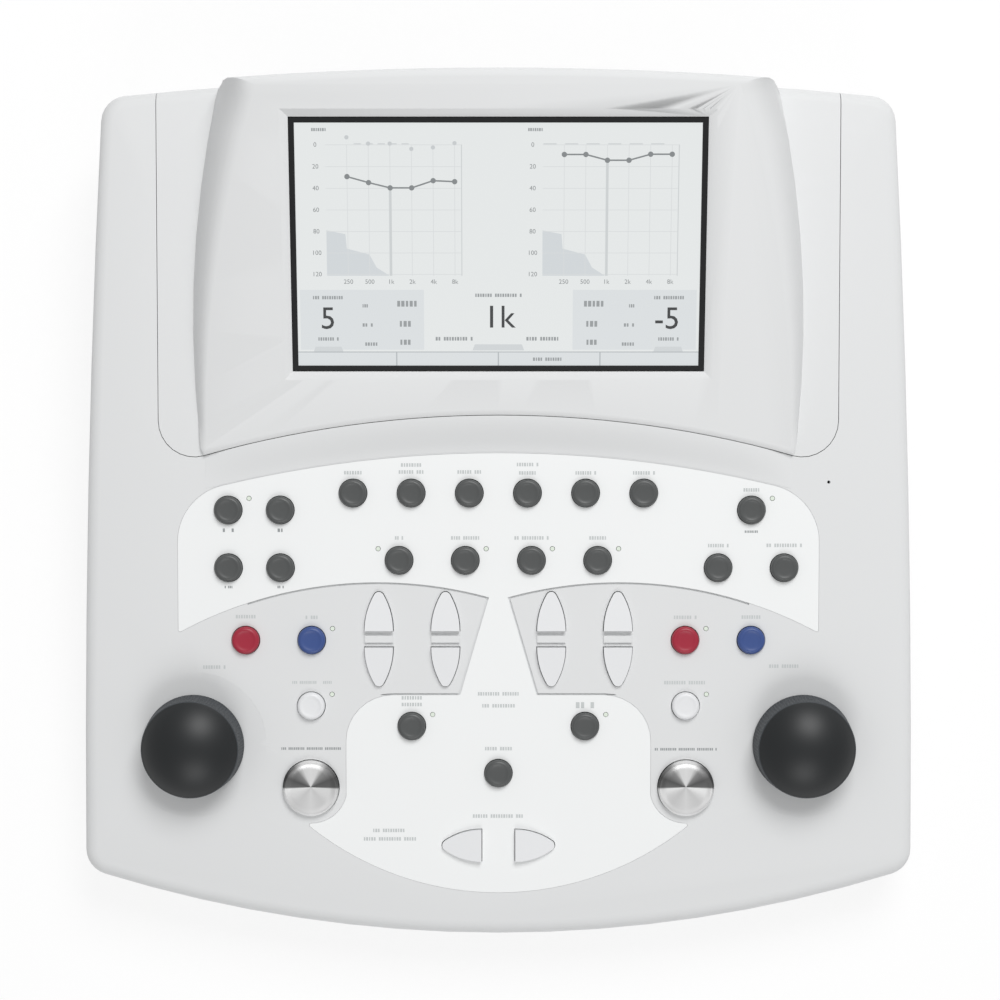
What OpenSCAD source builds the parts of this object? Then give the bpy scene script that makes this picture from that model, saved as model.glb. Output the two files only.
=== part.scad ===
// Two-channel desktop audiometer: a low, wide control desk with a raised display hood at the back.
// Units are millimetres. X points right, Y points to the back, Z points up.
// The origin is the centre of the footprint, on the table that the rubber feet stand on.
//
// Two working frames are used besides the table's own. on_deck() is the sloping control surface, with
// z = 0 on the surface itself. on_display() is the steeper plane of the hood, with z = 0 on that plane.

/* [Body] */
// Greatest width of the top housing
body_w = 360; // [354:1:368]
// Depth from the bow of the front to the bow of the back
body_d = 370; // [367:1:374]
// Radius of the bowed front edge, seen from above
front_arc_r = 580; // [540:10:640]
// Radius of the bowed back edge, seen from above
rear_arc_r = 1600; // [1400:50:2000]
// Radius of the slightly bowed sides, seen from above
side_arc_r = 5400; // [5000:100:6400]
// Radius of the four corners, seen from above
corner_r = 12; // [10:0.5:14]
// Radius of the rounding along the top edge
edge_r = 6; // [5:0.5:7]
// Wall thickness of the mouldings
wall = 2.5; // [2.2:0.1:2.8]
// Thickness of the sloping deck that carries the keys
deck_t = 3; // [2.8:0.1:3.4]
// Height of the deck surface in the middle of the body
deck_z = 50; // [48:0.5:53]
// Slope of the deck, rising to the back
deck_slope = 5; // [4.5:0.25:5.5]
// Height of the parting line between the two halves of the case
split_z = 16; // [15:0.5:17]

/* [Display hood] */
// Distance from the middle of the body to the foremost point of the hood
seam_y = 39.7; // [38.7:0.1:41.7]
// Radius of the hood's bowed front seam
seam_arc_r = 478; // [440:2:520]
// Half the width of the hood moulding, flange included
seam_half_w = 146; // [144:0.5:148]
// Radius of the flange's two front corners
seam_corner_r = 15.5; // [13:0.5:17]
// Width of the parting gap round the hood
seam_gap = 0.3; // [0.25:0.05:0.5]
// Height of the hood above the deck at its foremost point
hood_rise = 5; // [4.5:0.25:6]
// Tilt of the hood's face against the deck
display_tilt = 10; // [9:0.25:11]
// Half the width of the raised pod at its widest, where its walls meet the flange
pod_half_w = 130.7; // [129:0.5:132]
// Radius of the pod's bowed side walls, seen from above
pod_side_r = 446; // [420:2:520]

/* [Display] */
// Width of the black display frame
frame_w = 174.6; // [172:0.2:176]
// Height of the black display frame
frame_h = 106.8; // [105:0.2:108]
// Visible width of the frame's black border
frame_border = 2.2; // [1.8:0.1:2.6]
// Place of the display's middle along the hood's face, as a share of the face's length
display_share = 0.506; // [0.5:0.002:0.512]
// Depth of the frame's face below the hood's face
frame_depth = 2; // [1.6:0.1:2.4]
// Thickness of the clear window
window_t = 1.2; // [1:0.1:1.4]

/* [Keys] */
// Diameter of the small round keys
key_d = 11.8; // [11.2:0.1:12.2]
// Height of the small round keys above the deck
key_rise = 2.6; // [2.2:0.1:3.2]
// Travel of every key
key_travel = 1.2; // [0.8:0.1:1.4]
// Gap round every key
key_gap = 0.35; // [0.3:0.05:0.45]
// Diameter of the two steel interrupter keys
steel_key_d = 24; // [23:0.2:25]
// Width of the arrow-shaped level keys
level_key_w = 12.2; // [11.6:0.1:12.6]
// Length of the arrow-shaped level keys
level_key_l = 16.8; // [16:0.1:17.2]
// Width of the two frequency keys
freq_key_w = 13.7; // [13:0.1:14.2]
// Length of the two frequency keys
freq_key_l = 17; // [16:0.1:17.6]
// Spacing of the six keys of the top row
top_pitch = 25; // [24.5:0.1:26]
// Spacing of the four keys of the second row
mid_pitch = 28.5; // [28:0.1:29]

/* [Dials] */
// Diameter of the two dials at their foot
dial_d = 43.8; // [42:0.2:45]
// Height of the dials above the deck
dial_h = 23; // [21:0.5:25]
// Radius of the shallow dish round each dial
dish_r = 31.5; // [30:0.5:33]
// Depth of the dish at its middle
dish_depth = 1.5; // [1.2:0.1:1.6]
// Radius of the dial's spindle
spindle_r = 3; // [2.6:0.1:3.2]

/* [Rear connectors] */
// Number of 6.35 mm jack sockets
jack_count = 8; // [6:1:8]
// Spacing of the jack sockets
jack_pitch = 20; // [19:0.5:20]
// Radius of a jack socket's bore
jack_r = 3.25; // [3.2:0.05:3.4]
// Height of the sockets' centre line
jack_z = 28; // [27.5:0.25:28.5]

/* [Base] */
// Height of the rubber feet below the case
foot_h = 3; // [2:0.5:4]
// Diameter of the rubber feet
foot_d = 14; // [12:0.5:16]

/* [Hidden] */
$fn = 64;
eps = 0.01;
// Length of the cutters that pass through the whole body
through = 200;

// ---- colours, as on the real object
shell_grey = [0.86, 0.87, 0.87];
overlay_white = [0.95, 0.96, 0.96];
rubber_dark = [0.22, 0.23, 0.24];
key_red = [0.65, 0.12, 0.22];
key_blue = [0.18, 0.29, 0.55];
key_white = [0.93, 0.93, 0.93];
steel = [0.75, 0.76, 0.77];
black_plastic = [0.06, 0.06, 0.07];
board_green = [0.08, 0.32, 0.2];
silicone = [0.8, 0.8, 0.78];

// ---- driving heights and frames
case_bottom_z = foot_h;
floor_t = 2.5;
floor_z = case_bottom_z + floor_t;
deck_y = 3.7;
hood_slope = deck_slope + display_tilt;
side_y = -150;
draft = 0.4;

function deck_at(y) = deck_z + (y - deck_y) * tan(deck_slope);
hood_front_z = deck_at(seam_y) + hood_rise;
function hood_at(y) = hood_front_z + (y - seam_y) * tan(hood_slope);

module on_deck() translate([0, deck_y, deck_z]) rotate([deck_slope, 0, 0]) children();
module on_display()
    translate([0, seam_y, hood_front_z]) rotate([hood_slope, 0, 0]) translate([0, display_u, 0]) children();
module both_sides() {
    children();
    mirror([1, 0, 0]) children();
}

// ---- the body's plan outline: four long arcs joined by round corners, inset by d
// The point at distance ra from a and rb from b, on the side that s names
function meet(a, ra, b, rb, s) =
    let (d = norm(b - a), u = (b - a) / d, t = (ra * ra - rb * rb + d * d) / (2 * d))
    a + t * u + s * sqrt(ra * ra - t * t) * [-u[1], u[0]];
// Points along an arc, its end left out
function arc(c, r, a0, a1, n) =
    [for (i = [0 : n - 1]) let (a = a0 + (a1 - a0) * i / n) c + r * [cos(a), sin(a)]];
function bearing(from, to) = atan2(to[1] - from[1], to[0] - from[0]);

side_c = [body_w / 2 - side_arc_r, side_y];
front_c = [0, front_arc_r - body_d / 2];
rear_c = [0, body_d / 2 - rear_arc_r];
front_corner = meet(side_c, side_arc_r - corner_r, front_c, front_arc_r - corner_r, -1);
rear_corner = meet(side_c, side_arc_r - corner_r, rear_c, rear_arc_r - corner_r, 1);
front_turn = bearing(front_c, front_corner);
side_turn = bearing(side_c, front_corner);
side_end = bearing(side_c, rear_corner);
rear_turn = bearing(rear_c, rear_corner);

function half_outline(d) = concat(
    arc(front_c, front_arc_r - d, -90, front_turn, 8),
    arc(front_corner, corner_r - d, front_turn, side_turn, 6),
    arc(side_c, side_arc_r - d, side_turn, side_end, 6),
    arc(rear_corner, corner_r - d, side_end, rear_turn, 6),
    arc(rear_c, rear_arc_r - d, rear_turn, 90, 6),
    [[0, rear_c[1] + rear_arc_r - d]]
);
function mirrored(half) = [for (i = [len(half) - 2 : -1 : 1]) [-half[i][0], half[i][1]]];
function outline(d) = let (half = half_outline(d)) concat(half, mirrored(half));
function rear_at(x, d = 0) = rear_c[1] + sqrt(pow(rear_arc_r - d, 2) - x * x);

// ---- lofting: rings of equal length, from the lowest to the highest, closed by a cap at each end
function level_ring(d, z) = [for (p = outline(d)) [p[0], p[1], z]];
function deck_ring(d, w) = [for (p = outline(d)) [p[0], p[1], deck_at(p[1]) + w / cos(deck_slope)]];

module loft(rings) {
    n = len(rings[0]);
    m = len(rings);
    sides = [for (j = [0 : m - 2], i = [0 : n - 1])
        let (k = (i + 1) % n, a = j * n + i, b = j * n + k, c = (j + 1) * n + k, d = (j + 1) * n + i)
        each [[a, d, c], [a, c, b]]];
    low_cap = [for (i = [0 : n - 1]) i];
    high_cap = [for (i = [n - 1 : -1 : 0]) (m - 1) * n + i];
    polyhedron([for (r = rings) each r], concat([low_cap], sides, [high_cap]));
}

// A closed skin between a grid of upper points, in rows along +X, and the same grid at the distance
// low below the deck
module sheet(grid, low) {
    m = len(grid);
    n = len(grid[0]);
    top = [for (row = grid) each row];
    under = [for (p = top) [p[0], p[1], deck_at(p[1]) - low]];
    s = m * n;
    up = [for (j = [0 : m - 2], i = [0 : n - 2]) let (a = j * n + i)
        each [[a, a + n, a + 1], [a + 1, a + n, a + n + 1]]];
    down = [for (f = up) [f[0] + s, f[2] + s, f[1] + s]];
    rim = concat(
        [for (i = [0 : n - 2]) i],
        [for (j = [0 : m - 2]) j * n + n - 1],
        [for (i = [n - 1 : -1 : 1]) (m - 1) * n + i],
        [for (j = [m - 1 : -1 : 1]) j * n]
    );
    walls = [for (i = [0 : len(rim) - 1])
        let (a = rim[i], b = rim[(i + 1) % len(rim)])
        each [[a, b, b + s], [a, b + s, a + s]]];
    polyhedron(concat(top, under), concat(up, down, walls));
}

// ---- the case as one solid body, its hollow, and the shell between them
round_steps = [0, 22.5, 45, 67.5, 90];
inner_edge_r = max(edge_r - wall, 1);

module housing_outer()
    loft(concat(
        [level_ring(0, split_z)],
        [for (a = round_steps) deck_ring(draft + edge_r * (1 - cos(a)), -edge_r * (1 - sin(a)))]
    ));

module housing_hollow()
    loft(concat(
        [level_ring(wall, split_z - 1)],
        [for (a = round_steps)
            deck_ring(wall + draft + inner_edge_r * (1 - cos(a)), -deck_t - inner_edge_r * (1 - sin(a)))]
    ));

module housing_shell()
    difference() {
        housing_outer();
        housing_hollow();
    }

// ---- the hood's seam, seen from above, and the part of the shell that it takes out
rear_seam_z = split_z + 34;
lip_inset = wall + draft + 0.3;
seam_c = [0, seam_y - seam_arc_r];
seam_corner_c = let (x = seam_half_w - seam_corner_r, r = seam_arc_r + seam_corner_r)
    [x, seam_c[1] + sqrt(r * r - x * x)];
seam_turn = bearing(seam_c, seam_corner_c);
seam_low = seam_c + seam_arc_r * [cos(seam_turn), sin(seam_turn)];

function seam_half(g) = concat(
    arc(seam_c, seam_arc_r - g, 90, seam_turn, 14),
    arc(seam_corner_c, seam_corner_r + g, seam_turn - 180, 0, 8),
    [[seam_half_w + g, seam_corner_c[1]], [seam_half_w + g, body_d]]
);
function seam_outline(g) =
    let (half = seam_half(g))
    concat(half, [for (i = [len(half) - 1 : -1 : 1]) [-half[i][0], half[i][1]]]);

// g widens or narrows the zone, for the parting gap
module hood_zone(g)
    difference() {
        translate([0, 0, split_z]) linear_extrude(through) polygon(seam_outline(g));
        translate([-body_w, rear_at(seam_half_w) - 3 * wall, 0]) cube([2 * body_w, body_d, rear_seam_z - g]);
    }

// What the top housing gives up for the hood: all above the sunken shelf, the rear wall above the rear
// seam, and the wall's inner rounding above the lip
rear_clear = lip_inset + inner_edge_r;
module hood_cut(g) {
    intersection() {
        hood_zone(g);
        on_deck() translate([-body_w, -body_d, -deck_t]) cube([2 * body_w, 3 * body_d, through]);
    }
    difference() {
        hood_zone(g);
        linear_extrude(through) polygon(outline(lip_inset));
        translate([-body_w, -body_d, 0]) cube([2 * body_w, 1.4 * body_d, through]);
    }
    difference() {
        hood_zone(g);
        linear_extrude(through) polygon(outline(rear_clear));
        translate([-body_w, -body_d, 0]) cube([2 * body_w, 1.4 * body_d, through]);
        translate([-body_w, 0, 0]) cube([2 * body_w, body_d, lip_top_z]);
    }
}

// ---- the raised pod: its foot on the flange, its crest on the hood's face
// The foot's half width at y, on the bowed side walls
pod_widest_y = 78.7;
function foot_x(y) = pod_half_w - pow(y - pod_widest_y, 2) / (2 * pod_side_r);
wall_run = 0.66;
front_round = 3;
front_lip = 0.4;
function crest_x(y) = foot_x(y) - 1 - wall_run * (hood_at(y) - deck_at(y));
function front_wall(y) = hood_at(y) - front_lip - deck_at(y);

pod_front_x = seam_low[0];
pod_front_y = seam_low[1] + 0.2;
pod_rear_y = rear_at(foot_x(body_d / 2 - 10));
pod_rear_x = foot_x(pod_rear_y);
rear_round = 7.5;
pod_crest_y = rear_at(0, rear_round);
pod_corner_y = rear_at(crest_x(pod_crest_y), rear_round);
display_u = display_share * (pod_crest_y - seam_y) / cos(hood_slope);
pod_steps = [0.02, 0.05, 0.1, 0.2, 0.34, 0.48, 0.62, 0.76, 0.88];
pod_blend = 0.1;
rear_steps = [0, 30, 60, 90];
side_power = 2;
rear_power = 4;

// Each entry is [foot x, foot y, foot height against the deck, crest x, crest y, power of the wall's curve]
function pod_front() = [for (i = [-12 : 11])
    let (
        x = pod_front_x * i / 12,
        y = seam_c[1] + sqrt(pow(seam_arc_r, 2) - x * x),
        cx = (pod_front_x - 0.5 * front_round) * i / 12,
        cy = seam_c[1] + sqrt(pow(seam_arc_r + front_round, 2) - cx * cx)
    )
    [x, y, front_wall(y), cx, cy, side_power]];
function pod_side() = concat(
    [let (
        cx = pod_front_x - 0.5 * front_round,
        cy = seam_c[1] + sqrt(pow(seam_arc_r + front_round, 2) - cx * cx)
    )
    [pod_front_x, pod_front_y, front_wall(pod_front_y), cx, cy, side_power]],
    [for (s = pod_steps)
        let (
            y = pod_front_y + s * (pod_rear_y - edge_r - pod_front_y),
            cy = max(y, pod_front_y + front_round + 0.7 + 8 * s),
            lift = max(0, 1 - s / pod_blend) * front_wall(y)
        )
        [foot_x(y), y, lift, crest_x(cy), cy, side_power]],
    [for (a = rear_steps)
        let (
            y = pod_rear_y - edge_r * (1 - sin(a)),
            cy = pod_corner_y - 5 * (1 - sin(a)),
            power = side_power + (rear_power - side_power) * a / 90
        )
        [foot_x(y), y, -edge_r * (1 - cos(a)), crest_x(cy), cy, power]]
);
function pod_rear() =
    [for (i = [7 : -1 : -7])
        let (x = pod_rear_x * i / 8, kx = crest_x(pod_crest_y) * i / 8)
        [x, rear_at(x), -edge_r, kx, rear_at(kx, rear_round), rear_power]];
function flipped(list) = [for (i = [len(list) - 1 : -1 : 0])
    let (p = list[i])
    [-p[0], p[1], p[2], -p[3], p[4], p[5]]];
pod_stations = concat(pod_rear(), flipped(pod_side()), [for (i = [1 : 23]) pod_front()[i]], pod_side());

// A ring of the pod's wall at the fraction f of the way from foot to crest; the wall is steepest at its foot,
// and more so at the back
function pod_ring(f) = [for (p = pod_stations)
    let (
        x = p[0] + f * (p[3] - p[0]),
        y = p[1] + f * (p[4] - p[1]),
        zf = deck_at(p[1]) + p[2],
        zc = hood_at(p[4])
    )
    [x, y, zf + (zc - zf) * (1 - pow(1 - f, p[5]))]];
function pod_base(drop) = [for (p = pod_stations) [p[0], p[1], deck_at(p[1]) - drop]];

pod_root = 9;
module pod_outer()
    loft(concat([pod_base(pod_root)], [for (i = [0 : 6]) pod_ring(i / 6)]));

// The hollow under the pod, one wall thickness inside it
function toward_middle(y, t) = y < 100 ? y + t : y - t;
module pod_hollow() {
    shrink = 1 - wall / pod_half_w;
    low = [for (p = pod_stations)
        let (y = toward_middle(p[1], wall)) [p[0] * shrink, y, deck_at(y) - pod_root - 1]];
    high = [for (p = pod_stations)
        let (y = toward_middle(p[4], 0.6)) [p[3] * shrink, y, hood_at(y) - wall / cos(hood_slope)]];
    loft([low, high]);
}

// ---- the key field. Each entry is [name, x, y on the deck, kind]
cluster_x = 105;
cluster_half = 11.2;
top_y = 3;
mid_y = -26;
cluster_y = [-4.3, -29.2];
right_top_x = 108.8;
right_low_half = 14.2;
colour_y = -60.5;
colour_x = [108.9, 80.5];
white_pos = [80.8, -89];
steel_pos = [81, -124.6];
centre_pos = [37.4, -97.8];
centre_low_y = -118.3;
level_x = [51.5, 22.8];
level_y = -60;
level_half_gap = 3.6;
freq_y = -149.7;
freq_half_gap = 7.3;
dial_pos = [131.7, -105.8];

function name_n(base, n) = str(base, "_", n);
round_keys = concat(
    [for (i = [0 : 3]) [
        name_n("left_key", i + 1),
        -cluster_x + cluster_half * (i % 2 == 0 ? -1 : 1),
        cluster_y[floor(i / 2)],
        "dark"
    ]],
    [for (i = [0 : 5]) [name_n("top_key", i + 1), (i - 2.5) * top_pitch, top_y, "dark"]],
    [for (i = [0 : 3]) [name_n("middle_key", i + 1), (i - 1.5) * mid_pitch, mid_y, "dark"]],
    [
        ["right_key_1", right_top_x, cluster_y[0], "dark"],
        ["right_key_2", right_top_x - right_low_half, cluster_y[1], "dark"],
        ["right_key_3", right_top_x + right_low_half, cluster_y[1], "dark"],
        ["centre_key_1", -centre_pos[0], centre_pos[1], "dark"],
        ["centre_key_2", centre_pos[0], centre_pos[1], "dark"],
        ["centre_key_3", 0, centre_low_y, "dark"],
        ["left_red_key", -colour_x[0], colour_y, "red"],
        ["left_blue_key", -colour_x[1], colour_y, "blue"],
        ["right_red_key", colour_x[1], colour_y, "red"],
        ["right_blue_key", colour_x[0], colour_y, "blue"],
        ["left_white_key", -white_pos[0], white_pos[1], "white"],
        ["right_white_key", white_pos[0], white_pos[1], "white"]
    ]
);
steel_keys = [
    ["left_interrupter", -steel_pos[0], steel_pos[1]],
    ["right_interrupter", steel_pos[0], steel_pos[1]]
];
// Arrow keys: [name, x, y of the flat end's middle, bearing of the tip, width, length]
level_columns = [-level_x[0], -level_x[1], level_x[1], level_x[0]];
arrow_keys = concat(
    [for (i = [0 : 3]) [
        name_n("level_up_key", i + 1),
        level_columns[i],
        level_y + level_half_gap,
        0,
        level_key_w,
        level_key_l
    ]],
    [for (i = [0 : 3]) [
        name_n("level_down_key", i + 1),
        level_columns[i],
        level_y - level_half_gap,
        180,
        level_key_w,
        level_key_l
    ]],
    [
        ["frequency_down_key", -freq_half_gap, freq_y, 90, freq_key_w, freq_key_l],
        ["frequency_up_key", freq_half_gap, freq_y, -90, freq_key_w, freq_key_l]
    ]
);
dials = [["left_dial", -dial_pos[0]], ["right_dial", dial_pos[0]]];

// Small indicator lights, each beside one of the keys
led_step = [9, 5];
led_keys = ["left_key_1", "middle_key_2", "middle_key_3", "middle_key_4", "right_key_1", "centre_key_1",
    "centre_key_2", "left_blue_key", "right_red_key", "left_white_key", "right_white_key"];
function has_led(name) = len([for (k = led_keys) if (k == name) 1]) > 0;
led_spots = concat(
    [for (k = round_keys) if (has_led(k[0])) [k[1] + led_step[0], k[2] + led_step[1]]],
    [[-1.5 * mid_pitch - led_step[0], mid_y + led_step[1]]]
);
led_r = 0.9;

mic_pos = [142, 7.7];
mic_hole_r = 0.7;

// ---- depths below the deck's surface
flange_t = 1;
flange_top = -deck_t - 0.1;
flange_low = flange_top - flange_t;
board_top = -deck_t - 8.5;
board_t = 1.6;
mat_t = 1.2;
mat_top = board_top + mat_t;
stem_r = 2.4;
stem_low = mat_top + key_travel + 0.5;
boot_top = flange_low - key_travel - 0.7;
overlay_t = 1;

// ---- screws: every one is the same M3 x 10 pan head
screw_r = 1.5;
screw_l = 10;
head_r = 2.8;
head_t = 2.2;
pilot_r = screw_r + 0.03;
pass_r = 1.7;

post_r = 3.6;
case_post_r = 4;
case_boss_z = split_z - 4;
case_web = 3;
plate_y = rear_at(0) - 10.5;
case_spots = [
    [body_w / 2 - 20, -90], [body_w / 2 - 20, 42],
    [body_w / 2 - 30, body_d / 2 - 27], [60, 21 - body_d / 2]
];
board_spots = [[78, -6], [141, -64], [54, -138], [0, -60]];
hood_spots = [[120, 56], [118.5, 142]];
main_spots = [[117, 60], [117, plate_y - 24.5]];
ear_spots = [[101, 42], [101, -42]];

// ---- main board and the connector row
main_z = jack_z - 8;
main_board_t = 1.6;
main_y0 = 48;
plate_t = 2;
main_y1 = plate_y - 1;
row_half_w = 118;
row_top_z = split_z + 24;
rim_t = 3;
plate_low_z = split_z - 2;
jack_x0 = -106;
jack_nose_r = 5.4;
jack_nose = 2.4;
jack_body = [15.6, 21, 15.6];
jack_depth = 19;
usb_x = 57;
usb_slot = [9, 3.2];
usb_body = [13, 15, 8];
power_x = 90;
power_body = [42, 18, 19];
rocker_x = power_x + 10;
inlet_x = power_x - 10;
inlet_r = 3.3;
inlet_pin_r = 1;
rocker_w = 11;
rocker_h = 15;
rocker_axle_r = 1.2;
rocker_turn = 14;

// Which sub-part to build

// ======================================================================== shapes on the deck

// The outline of an arrow key: a flat end on the X axis and two long arcs that run into a rounded tip
arrow_tip_r = 2.2;
function arrow_side(w, l) =
    let (
        h = w / 2,
        r = (pow(l - arrow_tip_r, 2) + h * h - arrow_tip_r * arrow_tip_r) / (2 * (h - arrow_tip_r)),
        turn = atan2(l - arrow_tip_r, r - h)
    )
    concat(arc([h - r, 0], r, 0, turn, 7), arc([0, l - arrow_tip_r], arrow_tip_r, turn, 90, 4));
module arrow_2d(w, l, grow = 0)
    offset(delta = grow)
        polygon(concat(
            arrow_side(w, l),
            [[0, l]],
            let (side = arrow_side(w, l)) [for (i = [len(side) - 1 : -1 : 0]) [-side[i][0], side[i][1]]]
        ));
module place_arrow(k) translate([k[1], k[2], 0]) rotate([0, 0, k[3]]) children();

// The white zones of the panel: an upper band, a narrow neck and a lower lobe
band_r = 510;
band_apex_y = 20.2;
band_half_w = 138;
band_low_y = -60;
band_corner_r = 25;
wing_c = [52, -215.5];
wing_r = 180;
neck = [[3.8, -41], [17, -86]];
lobe_r = 129.5;
lobe_c_y = -41;
lobe_top_y = -84.4;
lobe_half_w = 65.8;
lobe_corner_r = 20;
steel_ring_r = 15.6;
overlay_round = 0.8;
// A fine groove follows the overlay's edge along the arcs above the level keys, the neck and the lobe's top
groove_w = 0.85;
groove_half_w = 108;
groove_high_y = -30;
groove_low_half_w = 51;

module round_box_2d(x0, y0, x1, y1, r)
    translate([x0 + r, y0 + r]) offset(r) square([x1 - x0 - 2 * r, y1 - y0 - 2 * r]);

module band_2d()
    difference() {
        offset(r = band_corner_r, $fn = 96) offset(delta = -band_corner_r)
            intersection() {
                translate([0, band_apex_y - band_r]) circle(band_r, $fn = 320);
                translate([-band_half_w, band_low_y - 60]) square([2 * band_half_w, 160]);
            }
        both_sides() translate(wing_c) circle(wing_r, $fn = 240);
        translate([-band_half_w - 5, band_low_y - 65]) square([2 * band_half_w + 10, 65]);
    }

module lobe_2d()
    intersection() {
        translate([0, lobe_c_y]) circle(lobe_r, $fn = 200);
        union() {
            round_box_2d(-lobe_half_w, lobe_c_y - lobe_r - 20, lobe_half_w, lobe_top_y, lobe_corner_r);
            difference() {
                translate([-steel_pos[0] - 3, lobe_c_y - lobe_r]) square([2 * steel_pos[0] + 6, 46]);
                both_sides() translate(steel_pos) circle(steel_ring_r, $fn = 72);
                both_sides() translate(steel_pos - [steel_ring_r, 0]) square([3 * steel_ring_r, 60]);
            }
        }
    }

module overlay_2d()
    offset(r = overlay_round, $fn = 32) offset(delta = -2 * overlay_round) offset(r = overlay_round, $fn = 32)
        union() {
            band_2d();
            polygon([[-neck[0][0], neck[0][1]], neck[0], neck[1], [-neck[1][0], neck[1][1]]]);
            lobe_2d();
        }

// The seat that the overlay lies in, with the groove along its edge
module overlay_seat_2d()
    union() {
        offset(delta = 0.1) overlay_2d();
        intersection() {
            offset(delta = groove_w) overlay_2d();
            union() {
                translate([-groove_half_w, level_y]) square([2 * groove_half_w, groove_high_y - level_y]);
                translate([-groove_low_half_w, lobe_top_y])
                    square([2 * groove_low_half_w, level_y - lobe_top_y + 1]);
            }
        }
    }

// Every opening that a key, a dial or a light needs, g wider than the piece that goes through
module key_openings_2d(g) {
    for (k = round_keys) translate([k[1], k[2]]) circle(key_d / 2 + g);
    for (k = steel_keys) translate([k[1], k[2]]) circle(steel_key_d / 2 + g);
    for (k = arrow_keys) translate([k[1], k[2]]) rotate(k[3]) arrow_2d(k[4], k[5], g);
    for (s = led_spots) translate(s) circle(led_r + 0.2, $fn = 24);
}

// ======================================================================== case

// The sweep between the key field and the hood's front seam: hollow at its foot, rounded at its top
brow_cols = 12;
brow_rows = 9;
brow_half_w = pod_front_x - 0.6;
function brow_start(x) = deck_y + (band_apex_y - band_r + sqrt(band_r * band_r - x * x)) + 0.5;
function brow_end(x) = seam_c[1] + sqrt(pow(seam_arc_r + 1, 2) - x * x);
function brow_top(x) =
    let (y = brow_end(x)) (hood_at(y) - front_lip - deck_at(y)) * min(1, (brow_half_w - abs(x)) / 14);
brow_skin = 0.12;
function sweep(t) = let (s = pow(t, 0.8)) s * s * (3 - 2 * s);
module brow()
    sheet([for (j = [0 : brow_rows])
        [for (i = [-brow_cols : brow_cols])
            let (
                x = brow_half_w * i / brow_cols,
                t = j / brow_rows,
                y = brow_start(x) + t * (brow_end(x) - brow_start(x))
            )
            [x, y, deck_at(y) + brow_skin + brow_top(x) * sweep(t)]]], 1);

// Sunken shelf that the hood's flange and its screws sit on, with a lip at the back inside the hood's
// rear wall
shelf_t = 2.5;
shelf_win = [112, 47, 148];
lip_t = 1.8;
module shelf()
    intersection() {
        linear_extrude(through) polygon(outline(rear_clear + 0.3));
        on_deck() translate([0, 0, -deck_t - shelf_t]) linear_extrude(shelf_t + 1)
            polygon([for (p = seam_outline(4)) [p[0], p[1] - deck_y]]);
    }
module shelf_openings()
    on_deck() {
        translate([-shelf_win[0], shelf_win[1], -20])
            cube([2 * shelf_win[0], shelf_win[2] - shelf_win[1], 30]);
        for (p = hood_spots) both_sides() translate([p[0], p[1], -20]) cylinder(r = pass_r, h = 30, $fn = 32);
    }
lip_low_z = rear_seam_z - 6;
lip_top_z = deck_at(rear_at(seam_half_w, lip_inset + lip_t)) - deck_t - inner_edge_r - 1;
module rear_lip()
    intersection() {
        translate([0, 0, lip_low_z]) linear_extrude(lip_top_z - lip_low_z) difference() {
            polygon(outline(wall - 1));
            polygon(outline(lip_inset + lip_t));
        }
        translate([-seam_half_w + 6, body_d / 2 - 20, 0]) cube([2 * seam_half_w - 12, 40, 100]);
    }

module connector_opening()
    translate([-row_half_w, plate_y, split_z - 1]) cube([2 * row_half_w, 40, row_top_z - split_z + 1]);

module rear_rim()
    intersection() {
        linear_extrude(through) polygon(outline(wall / 2));
        translate([0, 0, split_z]) linear_extrude(row_top_z + rim_t - split_z) polygon([
            [-row_half_w - rim_t, plate_y + plate_t], [row_half_w + rim_t, plate_y + plate_t],
            [row_half_w + rim_t, body_d], [-row_half_w - rim_t, body_d]
        ]);
    }

module case_posts()
    for (p = case_spots) both_sides()
        translate([p[0], p[1], case_boss_z])
            cylinder(r = case_post_r, h = deck_at(p[1]) - 1.5 - case_boss_z, $fn = 40);

module deck_posts()
    on_deck() {
        for (p = board_spots) both_sides()
            translate([p[0], p[1], board_top]) cylinder(r = post_r, h = -board_top - 2, $fn = 40);
        for (d = dials) translate([d[1], dial_pos[1], -deck_t - dish_depth])
            cylinder(r = dish_r, h = dish_depth + 1);
    }

// The dish is flat in its middle, where the encoder's nut sits
module dish_cutter() {
    r = (dish_r * dish_r + dish_depth * dish_depth) / (2 * dish_depth);
    a = asin(dish_r / r);
    rotate_extrude($fn = 96)
        polygon(concat(
            [[0, 5], [0, -dish_depth], [nut_r + 0.4, -dish_depth]],
            [for (i = [2 : 8]) [r * sin(a * i / 8), r - dish_depth - r * cos(a * i / 8)]],
            [[dish_r, 5]]
        ));
}

module top_housing()
    color(shell_grey)
    difference() {
        union() {
            housing_shell();
            brow();
            shelf();
            rear_lip();
            rear_rim();
            case_posts();
            deck_posts();
            level_ribs();
        }
        hood_cut(seam_gap / 2);
        shelf_openings();
        on_deck() {
            translate([0, 0, -overlay_t]) linear_extrude(overlay_t + 8) overlay_seat_2d();
            translate([0, 0, -deck_t - 2]) linear_extrude(deck_t + 8) key_openings_2d(key_gap);
            translate([mic_pos[0], mic_pos[1], -10]) cylinder(r = mic_hole_r, h = 20, $fn = 24);
            for (d = dials) translate([d[1], dial_pos[1], 0]) {
                dish_cutter();
                translate([0, 0, -10]) cylinder(r = bushing_r + 0.3, h = 20);
            }
            for (p = board_spots) both_sides() translate([p[0], p[1], board_top - 1])
                cylinder(r = pilot_r, h = screw_l + 1 - board_t, $fn = 32);
        }
        for (p = case_spots) both_sides() translate([p[0], p[1], case_boss_z - 1])
            cylinder(r = pilot_r, h = screw_l - case_web + 2, $fn = 32);
        connector_opening();
    }

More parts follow.
